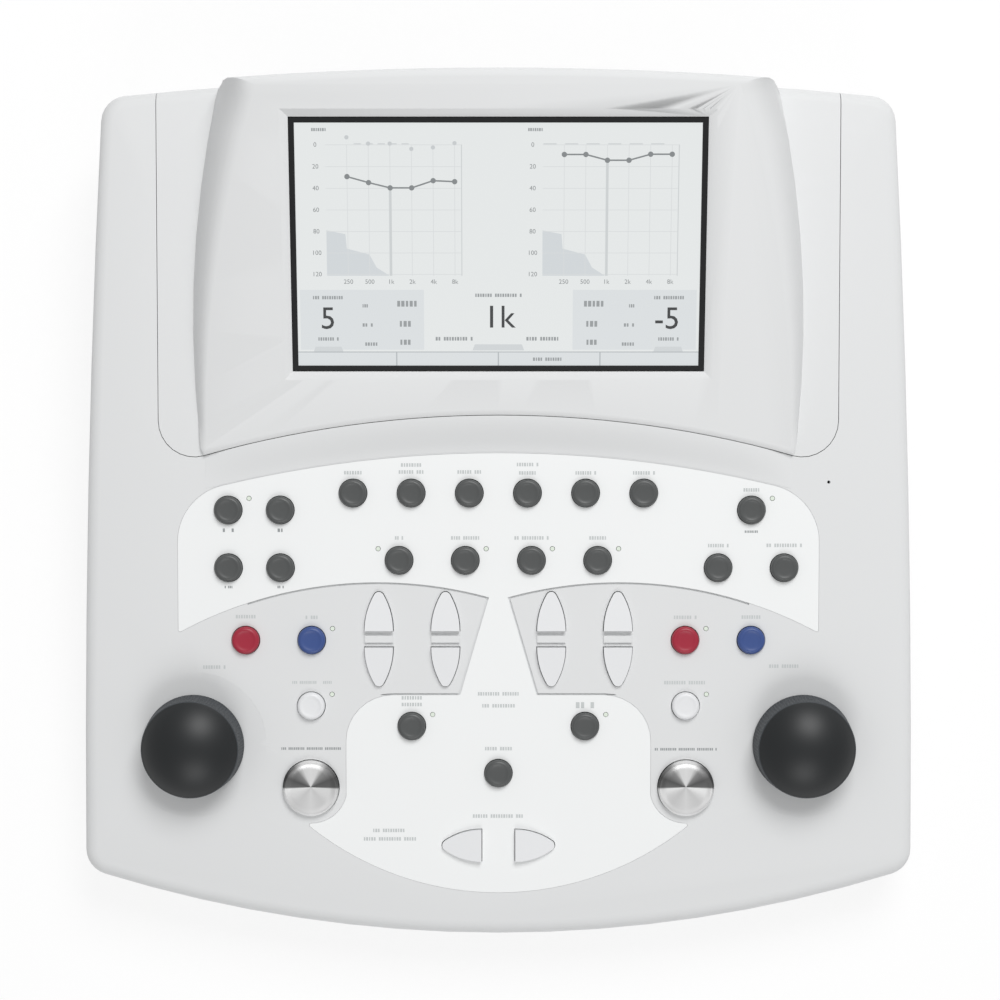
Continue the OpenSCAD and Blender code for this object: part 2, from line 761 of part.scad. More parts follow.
// One low rib between the two halves of each pair of level keys
rib_t = 3;
rib_h = 1;
module level_ribs()
    on_deck() for (x = level_columns)
        translate([x - level_key_w / 2, level_y - rib_t / 2, -1]) cube([level_key_w, rib_t, 1 + rib_h]);

// Rings of the bottom tray: its edge is rounded up from the floor to the parting line
tray_inset = 1;
tray_rings = [[6, 0], [4, 0.5], [2.4, 1.9], [1.4, 4.5], [tray_inset, 7]];
tongue_h = 2.5;
module bottom_housing()
    color(shell_grey)
    difference() {
        union() {
            difference() {
                loft(concat(
                    [for (r = tray_rings) level_ring(r[0], case_bottom_z + r[1])],
                    [level_ring(tray_inset, split_z)]
                ));
                loft([
                    level_ring(6 + wall * 0.4, floor_z),
                    level_ring(2.4 + wall, floor_z + 2.2),
                    level_ring(tray_inset + wall, floor_z + 5),
                    level_ring(tray_inset + wall, split_z + 1)
                ]);
            }
            difference() {
                translate([0, 0, split_z - 3]) linear_extrude(3 + tongue_h) difference() {
                    polygon(outline(wall + 0.3));
                    polygon(outline(wall + 1.8));
                }
                translate([-row_half_w - rim_t - 0.5, rear_at(0) - 20, split_z - 4])
                    cube([2 * (row_half_w + rim_t) + 1, 40, 4 + 2 * tongue_h]);
            }
            for (p = case_spots) both_sides() translate([p[0], p[1], case_bottom_z + 1])
                cylinder(r = case_post_r + 0.8, h = case_boss_z - case_bottom_z - 1);
            for (p = main_spots) both_sides() translate([p[0], p[1], floor_z - 1])
                cylinder(r = post_r, h = main_z - main_board_t - floor_z + 1, $fn = 40);
            connector_sill();
            for (f = foot_spots) both_sides()
                translate([f[0], f[1], floor_z - 1]) cylinder(r = foot_d / 2 + 2, h = 2);
        }
        for (p = case_spots) both_sides() translate([p[0], p[1], 0]) {
            cylinder(r = pass_r, h = 40, $fn = 32);
            cylinder(r = head_r + 0.4, h = case_boss_z - case_web, $fn = 40);
        }
        for (p = main_spots) both_sides() translate([p[0], p[1], main_z - screw_l - 0.5])
            cylinder(r = pilot_r, h = 2 * screw_l, $fn = 32);
        for (f = foot_spots) both_sides()
            translate([f[0], f[1], case_bottom_z - 1]) cylinder(r = foot_d / 2 + 0.1, h = foot_sink + 1);
        for (i = [-vent_count / 2 : vent_count / 2]) for (y = [vent_y, vent_y + 48])
            translate([i * vent_pitch - vent_w / 2, y, 0]) cube([vent_w, vent_l, 12]);
    }

foot_spots = [[body_w / 2 - 34, 51 - body_d / 2], [body_w / 2 - 40, body_d / 2 - 53]];
foot_sink = 1.2;
vent_count = 12;
vent_pitch = 12;
vent_w = 2.6;
vent_l = 36;
vent_y = 56;

// Sill that the connector plate stands on and leans against
module connector_sill()
    intersection() {
        loft([level_ring(2, case_bottom_z + 1), level_ring(tray_inset + 0.5, split_z)]);
        union() {
            translate([-row_half_w - rim_t, plate_y - 2, floor_z - 1])
                cube([2 * (row_half_w + rim_t), plate_t + 4, plate_low_z - floor_z + 1]);
            translate([-row_half_w - rim_t, plate_y + plate_t, plate_low_z - 1])
                cube([2 * (row_half_w + rim_t), 20, split_z - plate_low_z + 1]);
        }
    }

module display_hood()
    color(shell_grey)
    difference() {
        union() {
            difference() {
                union() {
                    intersection() {
                        housing_outer();
                        hood_zone(-seam_gap / 2);
                    }
                    intersection() {
                        pod_outer();
                        translate([0, 0, split_z]) linear_extrude(through)
                            polygon(seam_outline(-seam_gap / 2));
                    }
                }
                housing_hollow();
                pod_hollow();
            }
            on_deck() for (p = hood_spots) both_sides()
                translate([p[0], p[1], -deck_t + 0.1]) cylinder(r = post_r, h = deck_t + 5, $fn = 40);
            on_display() {
                translate([-collar_w / 2, -collar_h / 2, -collar_low])
                    cube([collar_w, collar_h, collar_low - 1.5]);
                for (p = ear_spots) both_sides()
                    translate([p[0], p[1], -ear_depth]) cylinder(r = post_r, h = ear_depth - 1.5, $fn = 40);
            }
        }
        on_display() {
            translate([-frame_w / 2 - 0.3, -frame_h / 2 - 0.3, -30]) cube([frame_w + 0.6, frame_h + 0.6, 40]);
            bevel_cutter();
            for (p = ear_spots) both_sides()
                translate([p[0], p[1], -ear_depth - 1]) cylinder(r = pilot_r, h = screw_l + 0.4, $fn = 32);
        }
        on_deck() for (p = hood_spots) both_sides()
            translate([p[0], p[1], -deck_t - 1]) cylinder(r = pilot_r, h = screw_l - shelf_t + 1.4, $fn = 32);
    }

// The bevel round the display's well
bevel_w = 3.4;
function flat_ring(w, h, z) =
    [[-w / 2, -h / 2, z], [w / 2, -h / 2, z], [w / 2, h / 2, z], [-w / 2, h / 2, z]];
module bevel_cutter() {
    w0 = frame_w + 0.6;
    h0 = frame_h + 0.6;
    loft([
        flat_ring(w0, h0, -frame_depth),
        flat_ring(w0 + 2 * bevel_w, h0 + 2 * bevel_w, 0),
        flat_ring(w0 + 2 * bevel_w, h0 + 2 * bevel_w, 8)
    ]);
}

// ======================================================================== display

collar_w = 189;
collar_h = 121;
collar_low = frame_depth + 2.6;
bezel_t = 0.8;
frame_foot_t = 1.6;
frame_foot = 4.5;
frame_low = collar_low + frame_foot_t;
glass_w = frame_w - 2 * frame_border + 2.4;
glass_h = frame_h - 2 * frame_border + 2.4;
panel_t = 5;
panel_low = frame_low + panel_t;
ear_t = 1;
ear_depth = panel_low - ear_t;

module box_between(w, h, z0, z1) translate([-w / 2, -h / 2, z0]) cube([w, h, z1 - z0]);

module display_frame()
    color(black_plastic)
    on_display() difference() {
        union() {
            box_between(frame_w, frame_h, -frame_low, -frame_depth);
            box_between(frame_w + 2 * frame_foot, frame_h + 2 * frame_foot, -frame_low, -collar_low);
        }
        box_between(frame_w - 2 * frame_border, frame_h - 2 * frame_border, -30, 5);
        box_between(glass_w + 0.4, glass_h + 0.4, -30, -frame_depth - bezel_t);
    }

module display_window()
    color([0.8, 0.85, 0.9, 0.3])
    on_display() box_between(glass_w, glass_h, -frame_depth - bezel_t - window_t, -frame_depth - bezel_t);

module display_panel()
    color([0.7, 0.72, 0.74])
    on_display() difference() {
        union() {
            box_between(glass_w, glass_h, -frame_low, -frame_depth - bezel_t - window_t);
            box_between(frame_w + 2 * frame_foot, frame_h + 2 * frame_foot, -panel_low, -frame_low);
            for (p = ear_spots) both_sides()
                translate([frame_w / 2, p[1] - 5, -panel_low]) cube([p[0] + 5 - frame_w / 2, 10, ear_t]);
        }
        for (p = ear_spots) both_sides() translate([p[0], p[1], -30]) cylinder(r = pass_r, h = 40, $fn = 32);
    }

// ======================================================================== keypad

module control_overlay()
    color(overlay_white)
    on_deck() difference() {
        translate([0, 0, -overlay_t]) linear_extrude(overlay_t) overlay_2d();
        translate([0, 0, -5]) linear_extrude(10) key_openings_2d(key_gap);
    }

// Turned profile of a small round key: a dished face inside a bevelled rim
module round_key(k) {
    r = key_d / 2;
    color(k[3] == "red" ? key_red : k[3] == "blue" ? key_blue : k[3] == "white" ? key_white : rubber_dark)
    on_deck() translate([k[1], k[2], 0]) rotate_extrude($fn = 48)
        polygon([
            [0, stem_low], [stem_r, stem_low], [stem_r, flange_low], [r + 1.2, flange_low],
            [r + 1.2, flange_top], [r, flange_top], [r, key_rise - 1.1], [r - 0.35, key_rise - 0.45],
            [r - 1.1, key_rise], [r - 1.5, key_rise], [r - 2.4, key_rise - 0.3], [0, key_rise - 0.45]
        ]);
}

module steel_key(k) {
    r = steel_key_d / 2;
    top = key_rise + 0.4;
    color(steel)
    on_deck() translate([k[1], k[2], 0]) rotate_extrude($fn = 96)
        polygon([
            [0, stem_low], [stem_r + 1.2, stem_low], [stem_r + 1.2, flange_low], [r + 1.2, flange_low],
            [r + 1.2, flange_top], [r, flange_top], [r, top - 0.8], [r - 0.8, top], [r - 1.4, top],
            [r - 2.2, top - 0.3], [0, top - 0.7]
        ]);
}

// An arrow key: highest along its flat end, falling towards the tip
module arrow_key(k) {
    fall = 1.2;
    centre = k[5] * 0.36;
    color(key_white)
    on_deck() place_arrow(k) {
        difference() {
            translate([0, 0, flange_top - eps]) linear_extrude(key_rise - flange_top + eps)
                arrow_2d(k[4], k[5]);
            translate([-k[4], 0, key_rise]) rotate([-atan(fall / k[5]), 0, 0]) translate([0, -5, 0])
                cube([2 * k[4], k[5] + 10, 10]);
        }
        translate([0, 0, flange_low]) linear_extrude(flange_t) arrow_2d(k[4], k[5], 1.1);
        translate([0, centre, stem_low]) cylinder(r = stem_r, h = flange_low - stem_low + eps, $fn = 40);
    }
}

function arrow_stem(k) = [k[1] - sin(k[3]) * k[5] * 0.36, k[2] + cos(k[3]) * k[5] * 0.36];
stems = concat(
    [for (k = round_keys) [k[1], k[2], stem_r]],
    [for (k = steel_keys) [k[1], k[2], stem_r + 1.2]],
    [for (k = arrow_keys) [arrow_stem(k)[0], arrow_stem(k)[1], stem_r]]
);

// The silicone mat: one sheet with a boot round the stem of every key
mat_half_w = [132, 98];
mat_y = [-159, -74, 12];
boot_wall = 1.4;
module keymat()
    color(silicone)
    on_deck() difference() {
        union() {
            translate([0, 0, board_top]) linear_extrude(mat_t) polygon([
                [-mat_half_w[1], mat_y[0]], [mat_half_w[1], mat_y[0]], [mat_half_w[1], mat_y[1]],
                [mat_half_w[0], mat_y[1]], [mat_half_w[0], mat_y[2]], [-mat_half_w[0], mat_y[2]],
                [-mat_half_w[0], mat_y[1]], [-mat_half_w[1], mat_y[1]]
            ]);
            for (s = stems) translate([s[0], s[1], board_top])
                cylinder(r = s[2] + 0.4 + boot_wall, h = boot_top - board_top, $fn = 32);
        }
        for (s = stems) translate([s[0], s[1], mat_top]) cylinder(r = s[2] + 0.4, h = 20, $fn = 32);
        for (p = board_spots) both_sides() translate([p[0], p[1], -30])
            cylinder(r = post_r + 0.4, h = 40, $fn = 40);
        for (s = led_spots) translate([s[0], s[1], -30]) cylinder(r = led_r + 0.5, h = 40, $fn = 24);
    }

board_half_w = 151;
board_y = [-158, 13];
board_clip = 22;
module keypad_board()
    color(board_green)
    on_deck() difference() {
        translate([0, 0, board_top - board_t]) linear_extrude(board_t) polygon([
            [-board_half_w + board_clip, board_y[0]], [board_half_w - board_clip, board_y[0]],
            [board_half_w, board_y[0] + board_clip], [board_half_w, board_y[1]],
            [-board_half_w, board_y[1]], [-board_half_w, board_y[0] + board_clip]
        ]);
        for (p = board_spots) both_sides() translate([p[0], p[1], -30])
            cylinder(r = pass_r, h = 40, $fn = 32);
    }

module indicator_leds()
    color([0.75, 0.85, 0.7])
    on_deck() for (s = led_spots) translate([s[0], s[1], board_top]) {
        cylinder(r = led_r, h = -board_top + 0.1, $fn = 24);
        translate([-0.8, -1.1, 0]) cube([1.6, 2.2, 0.8]);
    }

module talkback_microphone()
    color(black_plastic)
    on_deck() {
        translate([mic_pos[0], mic_pos[1], board_top]) cylinder(r = 1.4, h = 3);
        translate([mic_pos[0], mic_pos[1], board_top + 2])
            cylinder(r = 4.8, h = -deck_t - 0.1 - board_top - 2);
    }

// ======================================================================== dials
// Each dial has a straight, slightly tapered grip and a strongly domed top

bushing_r = 4.5;
bore_r = spindle_r + 0.05;
bushing_top = 3;
encoder_w = 14;
nut_r = 6.4;
nut_low = -dish_depth;
nut_top = nut_low + 2;
dial_low = -0.25;
dial_cavity_r = 15;
dial_cavity_top = 6;
dial_taper = 1.1;
dome = 9;

module dial_encoders()
    for (d = dials) on_deck() translate([d[1], dial_pos[1], 0]) {
        color([0.35, 0.36, 0.38]) difference() {
            union() {
                translate([-encoder_w / 2, -encoder_w / 2, board_top])
                    cube([encoder_w, encoder_w, -deck_t - dish_depth - board_top]);
                translate([0, 0, -deck_t - dish_depth - 1])
                    cylinder(r = bushing_r, h = bushing_top + deck_t + dish_depth + 1);
            }
            translate([0, 0, board_top + 1]) cylinder(r = bore_r, h = 30);
        }
        color(steel) translate([0, 0, nut_low]) difference() {
            cylinder(r = nut_r, h = nut_top - nut_low, $fn = 6);
            translate([0, 0, -1]) cylinder(r = bushing_r + 0.02, h = 5);
        }
    }

module dial(d) {
    r = dial_d / 2;
    shoulder = dial_h - dome;
    dome_r = (pow(r - dial_taper, 2) + dome * dome) / (2 * dome);
    dome_turn = asin((r - dial_taper) / dome_r);
    color(rubber_dark)
    on_deck() translate([d[1], dial_pos[1], 0]) rotate_extrude($fn = 96)
        polygon(concat(
            [
                [0, board_top + 2], [spindle_r, board_top + 2], [spindle_r, dial_cavity_top],
                [dial_cavity_r, dial_cavity_top], [dial_cavity_r, dial_low], [r - 0.6, dial_low],
                [r, dial_low + 0.6], [r - dial_taper + 0.1, shoulder - 0.7],
                [r - dial_taper - 0.3, shoulder - 0.1]
            ],
            [for (i = [10 : -1 : 0])
                let (a = dome_turn * i / 11)
                [dome_r * sin(a), dial_h - dome_r * (1 - cos(a))]]
        ));
}

// ======================================================================== boards and connectors

module main_board()
    color(board_green)
    difference() {
        translate([-row_half_w - 6, main_y0, main_z - main_board_t])
            cube([2 * (row_half_w + 6), main_y1 - main_y0, main_board_t]);
        for (p = main_spots) both_sides() translate([p[0], p[1], 0]) cylinder(r = pass_r, h = 60, $fn = 32);
    }

function jack_x(i) = jack_x0 + i * jack_pitch;

module jack_sockets()
    color(black_plastic)
    for (i = [0 : jack_count - 1]) translate([jack_x(i), 0, jack_z]) difference() {
        union() {
            translate([-jack_body[0] / 2, plate_y - jack_body[1], main_z - jack_z]) cube(jack_body);
            translate([0, plate_y - 1, 0]) rotate([-90, 0, 0])
                cylinder(r = jack_nose_r, h = 1 + plate_t + jack_nose, $fn = 48);
        }
        translate([0, plate_y + plate_t + jack_nose - jack_depth, 0]) rotate([-90, 0, 0])
            cylinder(r = jack_r, h = jack_depth + 1, $fn = 48);
    }

module usb_socket()
    color([0.78, 0.79, 0.8])
    translate([usb_x, 0, main_z]) difference() {
        union() {
            translate([-usb_body[0] / 2, plate_y - usb_body[1], 0]) cube(usb_body);
            translate([-usb_slot[0] / 2 - 0.8, plate_y - 1, usb_body[2] / 2 - usb_slot[1] / 2 - 0.8])
                cube([usb_slot[0] + 1.6, plate_t + 1.3, usb_slot[1] + 1.6]);
        }
        translate([-usb_slot[0] / 2, plate_y - 6, usb_body[2] / 2 - usb_slot[1] / 2])
            cube([usb_slot[0], 20, usb_slot[1]]);
    }

// The power module carries the low-voltage inlet and the cradle of the mains rocker
module power_inlet()
    color(black_plastic)
    difference() {
        union() {
            translate([power_x - power_body[0] / 2, plate_y - power_body[1], main_z])
                cube([power_body[0], power_body[1], power_body[2] - 3]);
            translate([power_x - power_body[0] / 2 + 2, plate_y - 1, jack_z - 9.4])
                cube([power_body[0] - 4, plate_t + 2, 18.4]);
        }
        difference() {
            translate([inlet_x, plate_y - 11, jack_z]) rotate([-90, 0, 0])
                cylinder(r = inlet_r, h = 30, $fn = 48);
            translate([inlet_x, plate_y - 12, jack_z]) rotate([-90, 0, 0])
                cylinder(r = inlet_pin_r, h = 12, $fn = 32);
        }
        translate([rocker_x - rocker_w / 2 - 0.3, plate_y - 8, jack_z - rocker_h / 2 - 0.3])
            cube([rocker_w + 0.6, 30, rocker_h + 0.6]);
        rocker_axle(rocker_axle_r + 0.05, rocker_w + 4);
    }

module rocker_axle(r, l)
    translate([rocker_x - l / 2, plate_y + 0.5, jack_z]) rotate([0, 90, 0]) cylinder(r = r, h = l, $fn = 40);

// The rocker's section, standing out behind its axle: two flats that meet in a shallow valley
rocker_section = [[-6, -3], [-2, -7], [4.8, -7], [3.1, 0], [4.8, 7], [-2, 7], [-6, 3]];
module power_rocker()
    color(rubber_dark)
    union() {
        translate([rocker_x - rocker_w / 2, plate_y + 0.5, jack_z]) rotate([rocker_turn / 2, 0, 0])
            rotate([90, 0, 90]) linear_extrude(rocker_w) polygon(rocker_section);
        rocker_axle(rocker_axle_r, rocker_w + 3.4);
    }

module connector_plate()
    color([0.3, 0.31, 0.33])
    difference() {
        translate([-row_half_w - rim_t + 0.4, plate_y, plate_low_z])
            cube([2 * (row_half_w + rim_t) - 0.8, plate_t, row_top_z + rim_t - plate_low_z - 0.4]);
        for (i = [0 : jack_count - 1]) translate([jack_x(i), plate_y - 5, jack_z]) rotate([-90, 0, 0])
            cylinder(r = jack_nose_r + 0.15, h = 20, $fn = 48);
        translate([usb_x, plate_y - 5, main_z + usb_body[2] / 2])
            translate([-usb_slot[0] / 2 - 0.95, 0, -usb_slot[1] / 2 - 0.95])
                cube([usb_slot[0] + 1.9, 20, usb_slot[1] + 1.9]);
        translate([power_x - power_body[0] / 2 + 1.85, plate_y - 5, jack_z - 9.55])
            cube([power_body[0] - 3.7, 20, 18.7]);
    }

// ======================================================================== feet and screws

module feet()
    color(rubber_dark)
    for (f = foot_spots) both_sides() translate([f[0], f[1], 0])
        rotate_extrude($fn = 48)
            polygon([[0, 0], [foot_d / 2 - 1.4, 0], [foot_d / 2 - 0.6, 0.8], [foot_d / 2, foot_h],
                [foot_d / 2, foot_h + foot_sink], [0, foot_h + foot_sink]]);

// A screw with its head's seat at z = 0 and its shank rising
module screw()
    difference() {
        union() {
            translate([0, 0, -head_t]) cylinder(r1 = head_r - 0.5, r2 = head_r, h = head_t, $fn = 32);
            translate([0, 0, -eps]) cylinder(r = screw_r, h = screw_l + eps, $fn = 32);
        }
        for (a = [0, 90]) rotate([0, 0, a]) translate([-1.5, -0.35, -head_t - 1]) cube([3, 0.7, 2.1]);
    }

module m3_screws()
    color(steel) {
        for (p = case_spots) both_sides() translate([p[0], p[1], case_boss_z - case_web]) screw();
        for (p = main_spots) both_sides() translate([p[0], p[1], main_z]) mirror([0, 0, 1]) screw();
        on_deck() {
            for (p = board_spots) if (p[0] == 0) translate([0, p[1], board_top - board_t]) screw();
            else both_sides() translate([p[0], p[1], board_top - board_t]) screw();
            for (p = hood_spots) both_sides() translate([p[0], p[1], -deck_t - shelf_t]) screw();
        }
        on_display() for (p = ear_spots) both_sides() translate([p[0], p[1], -panel_low]) screw();
    }

// ======================================================================== every sub-part by name

bottom_housing();
top_housing();
display_hood();
control_overlay();
display_frame();
display_window();
display_panel();
keymat();
keypad_board();
dial_encoders();
connector_plate();
jack_sockets();
main_board();
power_inlet();
usb_socket();
feet();
m3_screws();
indicator_leds();
talkback_microphone();
for (k = round_keys) round_key(k);
for (k = steel_keys) steel_key(k);
for (k = arrow_keys) arrow_key(k);
for (d = dials) dial(d);
power_rocker();
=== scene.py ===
"""Looks of a desktop audiometer: finishes, the picture on its display, printed marks, dials and keys.

Lengths are in millimetres unless a name says otherwise, and become metres in Plane.point().
"""

import logging
import math
from dataclasses import dataclass, field
from enum import Enum
from typing import Iterable, Sequence

import bmesh
import bpy
from mathutils import Matrix, Vector

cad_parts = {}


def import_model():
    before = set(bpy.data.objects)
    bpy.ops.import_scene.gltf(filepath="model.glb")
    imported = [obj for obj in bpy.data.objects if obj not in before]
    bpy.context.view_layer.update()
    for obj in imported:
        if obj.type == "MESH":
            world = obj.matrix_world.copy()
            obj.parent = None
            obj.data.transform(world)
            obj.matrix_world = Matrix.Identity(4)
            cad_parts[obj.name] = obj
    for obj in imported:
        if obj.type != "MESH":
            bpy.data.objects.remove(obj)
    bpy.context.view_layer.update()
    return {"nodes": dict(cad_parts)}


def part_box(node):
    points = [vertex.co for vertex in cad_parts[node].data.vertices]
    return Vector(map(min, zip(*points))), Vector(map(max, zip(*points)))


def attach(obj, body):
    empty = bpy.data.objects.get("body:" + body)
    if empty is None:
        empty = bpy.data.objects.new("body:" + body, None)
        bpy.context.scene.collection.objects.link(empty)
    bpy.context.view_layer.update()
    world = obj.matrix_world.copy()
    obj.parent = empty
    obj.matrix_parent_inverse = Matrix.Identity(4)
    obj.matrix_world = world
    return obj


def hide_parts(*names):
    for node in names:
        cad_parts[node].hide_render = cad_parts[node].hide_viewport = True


LOG = logging.getLogger("audiometer")
MM = 0.001
ROOT_BODY = "desk_unit"

# Edges that bend more than this stay sharp.
SHARP_ANGLE = math.radians(31)
# Corners of a CAD part that lie closer than this become one, in metres.
SAME_PLACE = 0.000004
# Corners of a small round mark.
MARK_CORNERS = 12

# A digit's height as a share of its font's size.
DIGIT_SHARE = 0.7
# A word's blocks: their pitch as a share of the word's height, the height of a block on the
# display as a share of its word's height, and each block's share of the pitch, where 0 is a gap.
WORD_PITCH = 0.72
WORD_HEIGHT = 1.3
WORD_BLOCKS = (0.74, 0.6, 0.8, 0.5, 0.76, 0.66, 0.0, 0.7, 0.78, 0.56)

Rgb = tuple[float, float, float]
Place = tuple[float, float, float]
Mark = tuple[float, float, float, float]


# ------------------------------ working planes


@dataclass(frozen=True)
class Plane:
    """A working plane that is tilted about the X axis.

    Attributes:
        origin: a point on it, in millimetres.
        tilt: its rise towards the back, in degrees.
    """

    origin: Place
    tilt: float

    def up(self) -> Vector:
        """The plane's normal."""
        return Vector((0, -math.sin(math.radians(self.tilt)), math.cos(math.radians(self.tilt))))

    def back(self) -> Vector:
        """The direction that climbs the plane."""
        return Vector((0, math.cos(math.radians(self.tilt)), math.sin(math.radians(self.tilt))))

    def point(self, x: float, y: float, lift: float = 0.0) -> Vector:
        """A place given on the plane, in the row frame.

        Args:
            x: distance to the right.
            y: distance up the plane.
            lift: height above the plane.

        Returns:
            The place in metres.
        """
        at = Vector(self.origin) + Vector((x, 0, 0)) + self.back() * y + self.up() * lift
        return at * MM

    def matrix(self, x: float, y: float, lift: float = 0.0, turn: float = 0.0) -> Matrix:
        """The matrix that sets a piece drawn in millimetres on the plane.

        Args:
            x: distance to the right.
            y: distance up the plane.
            lift: height above the plane.
            turn: turn about the plane's normal, in degrees.

        Returns:
            The matrix, which also turns millimetres to metres.
        """
        tilt = Matrix.Rotation(math.radians(self.tilt), 4, "X")
        spin = Matrix.Rotation(math.radians(turn), 4, "Z")
        return Matrix.Translation(self.point(x, y, lift)) @ tilt @ spin @ Matrix.Scale(MM, 4)

    def place(self, world: Vector) -> tuple[float, float]:
        """The x and y on the plane of a place in the row frame, in metres."""
        off = world / MM - Vector(self.origin)
        return off.x, off.dot(self.back())


DECK = Plane(origin=(0, 3.7, 50), tilt=5)
HOOD_TILT = 15
# From the middle of the window's box up to the hood's face.
WINDOW_DEPTH = 3.4


def hood_face() -> Plane:
    """The plane of the hood's face, with its origin over the middle of the display window.

    Returns:
        The plane.
    """
    low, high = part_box("display_window")
    face = Plane(origin=tuple((low + high) / 2 / MM), tilt=HOOD_TILT)
    return Plane(origin=tuple(Vector(face.origin) + face.up() * WINDOW_DEPTH), tilt=HOOD_TILT)


# ------------------------------ finishes


def linear(value: float) -> float:
    """One sRGB channel, 0 to 255, as linear light."""
    c = value / 255
    return c / 12.92 if c <= 0.04045 else ((c + 0.055) / 1.055) ** 2.4


# The base colour of a surface with its own light, and what all surfaces share: the relief's
# height in metres, the scale of the slow drift, and how much more roughness drifts than colour.
UNLIT = (0.01, 0.01, 0.01, 1)
RELIEF_HEIGHT = 0.0002
DRIFT_SCALE = 9
ROUGH_DRIFT = 4


class Grain(Enum):
    """The fine relief of a surface: its scale in grains per metre and its depth."""

    POLISHED = (900.0, 0.006)
    FILM = (2600.0, 0.02)
    MOULDED = (1700.0, 0.06)
    RUBBER = (2200.0, 0.1)


@dataclass(frozen=True)
class Finish:
    """One finish, built as a material of procedural nodes.

    Attributes:
        name: the material's name.
        colour: sRGB, 0 to 255.
        rough: roughness.
        metal: metallic share.
        sheen: specular level, where 0.5 is a plain plastic.
        grain: fine relief.
        glow: strength of its own light.
        mottle: share by which colour and roughness drift over the surface.
    """

    name: str
    colour: Rgb
    rough: float = 0.5
    metal: float = 0.0
    sheen: float = 0.5
    grain: Grain = Grain.FILM
    glow: float = 0.0
    mottle: float = 0.01

    def rgba(self) -> tuple[float, float, float, float]:
        """The colour in linear light."""
        return (*[linear(c) for c in self.colour], 1.0)

    def build(self) -> bpy.types.Material:
        """Makes the material, or finds it where it has been made.

        Returns:
            The material.
        """
        old = bpy.data.materials.get(self.name)
        if old:
            return old
        mat = bpy.data.materials.new(self.name)
        mat.use_nodes = True
        tree = mat.node_tree
        shader = tree.nodes["Principled BSDF"]
        shader.inputs["Base Color"].default_value = self.rgba()
        shader.inputs["Roughness"].default_value = self.rough
        shader.inputs["Metallic"].default_value = self.metal
        shader.inputs["Specular IOR Level"].default_value = self.sheen
        if self.glow:
            shader.inputs["Emission Color"].default_value = self.rgba()
            shader.inputs["Emission Strength"].default_value = self.glow
            shader.inputs["Base Color"].default_value = UNLIT
        else:
            self.dress(tree, shader)
        return mat

    def dress(self, tree: bpy.types.NodeTree, shader: bpy.types.Node) -> None:
        """Adds the relief and the drift of the colour.

        Args:
            tree: the material's nodes.
            shader: its Principled node.
        """
        surface = tree.nodes.new("ShaderNodeGroup")
        surface.node_tree = surface_group()
        scale, depth = self.grain.value
        surface.inputs["Grain Scale"].default_value = scale
        surface.inputs["Grain Depth"].default_value = depth
        surface.inputs["Drift"].default_value = self.mottle
        surface.inputs["Colour"].default_value = self.rgba()
        surface.inputs["Roughness"].default_value = self.rough
        tree.links.new(surface.outputs["Colour"], shader.inputs["Base Color"])
        tree.links.new(surface.outputs["Roughness"], shader.inputs["Roughness"])
        tree.links.new(surface.outputs["Normal"], shader.inputs["Normal"])


def surface_group() -> bpy.types.NodeTree:
    """The shared surface effect: a fine grain as a normal, and a slow drift of colour and roughness.

    Returns:
        The node group.
    """
    name = "surface_grain"
    old = bpy.data.node_groups.get(name)
    if old:
        return old
    group = bpy.data.node_groups.new(name, "ShaderNodeTree")
    face = group.interface
    for label in ("Grain Scale", "Grain Depth", "Drift", "Roughness"):
        face.new_socket(label, in_out="INPUT", socket_type="NodeSocketFloat")
    face.new_socket("Colour", in_out="INPUT", socket_type="NodeSocketColor")
    face.new_socket("Colour", in_out="OUTPUT", socket_type="NodeSocketColor")
    face.new_socket("Roughness", in_out="OUTPUT", socket_type="NodeSocketFloat")
    face.new_socket("Normal", in_out="OUTPUT", socket_type="NodeSocketVector")
    nodes, links = group.nodes, group.links
    entry = nodes.new("NodeGroupInput")
    leave = nodes.new("NodeGroupOutput")
    coords = nodes.new("ShaderNodeTexCoord")
    fine = nodes.new("ShaderNodeTexNoise")
    fine.inputs["Detail"].default_value = 2
    slow = nodes.new("ShaderNodeTexNoise")
    slow.inputs["Scale"].default_value = DRIFT_SCALE
    bump = nodes.new("ShaderNodeBump")
    bump.inputs["Distance"].default_value = RELIEF_HEIGHT
    swing = nodes.new("ShaderNodeMapRange")
    swing.inputs["To Min"].default_value = -1
    colour_share = maths(nodes, "MULTIPLY")
    colour_total = maths(nodes, "ADD", 1)
    tint = nodes.new("ShaderNodeVectorMath")
    tint.operation = "SCALE"
    grit = nodes.new("ShaderNodeMapRange")
    grit.inputs["To Min"].default_value = -1
    rough_share = maths(nodes, "MULTIPLY")
    rough_more = maths(nodes, "MULTIPLY", ROUGH_DRIFT)
    rough_total = maths(nodes, "ADD", 1)
    rough = maths(nodes, "MULTIPLY")
    join(links, (
        (coords, "Object", fine, "Vector"), (coords, "Object", slow, "Vector"),
        (entry, "Grain Scale", fine, "Scale"),
        (entry, "Grain Depth", bump, "Strength"), (fine, "Fac", bump, "Height"),
        (slow, "Fac", swing, "Value"), (swing, "Result", colour_share, 0),
        (entry, "Drift", colour_share, 1), (colour_share, 0, colour_total, 0),
        (entry, "Colour", tint, 0), (colour_total, 0, tint, "Scale"),
        (fine, "Fac", grit, "Value"), (grit, "Result", rough_share, 0),
        (entry, "Drift", rough_share, 1), (rough_share, 0, rough_more, 0),
        (rough_more, 0, rough_total, 0), (rough_total, 0, rough, 0),
        (entry, "Roughness", rough, 1), (tint, 0, leave, "Colour"),
        (rough, 0, leave, "Roughness"), (bump, "Normal", leave, "Normal"),
    ))
    return group


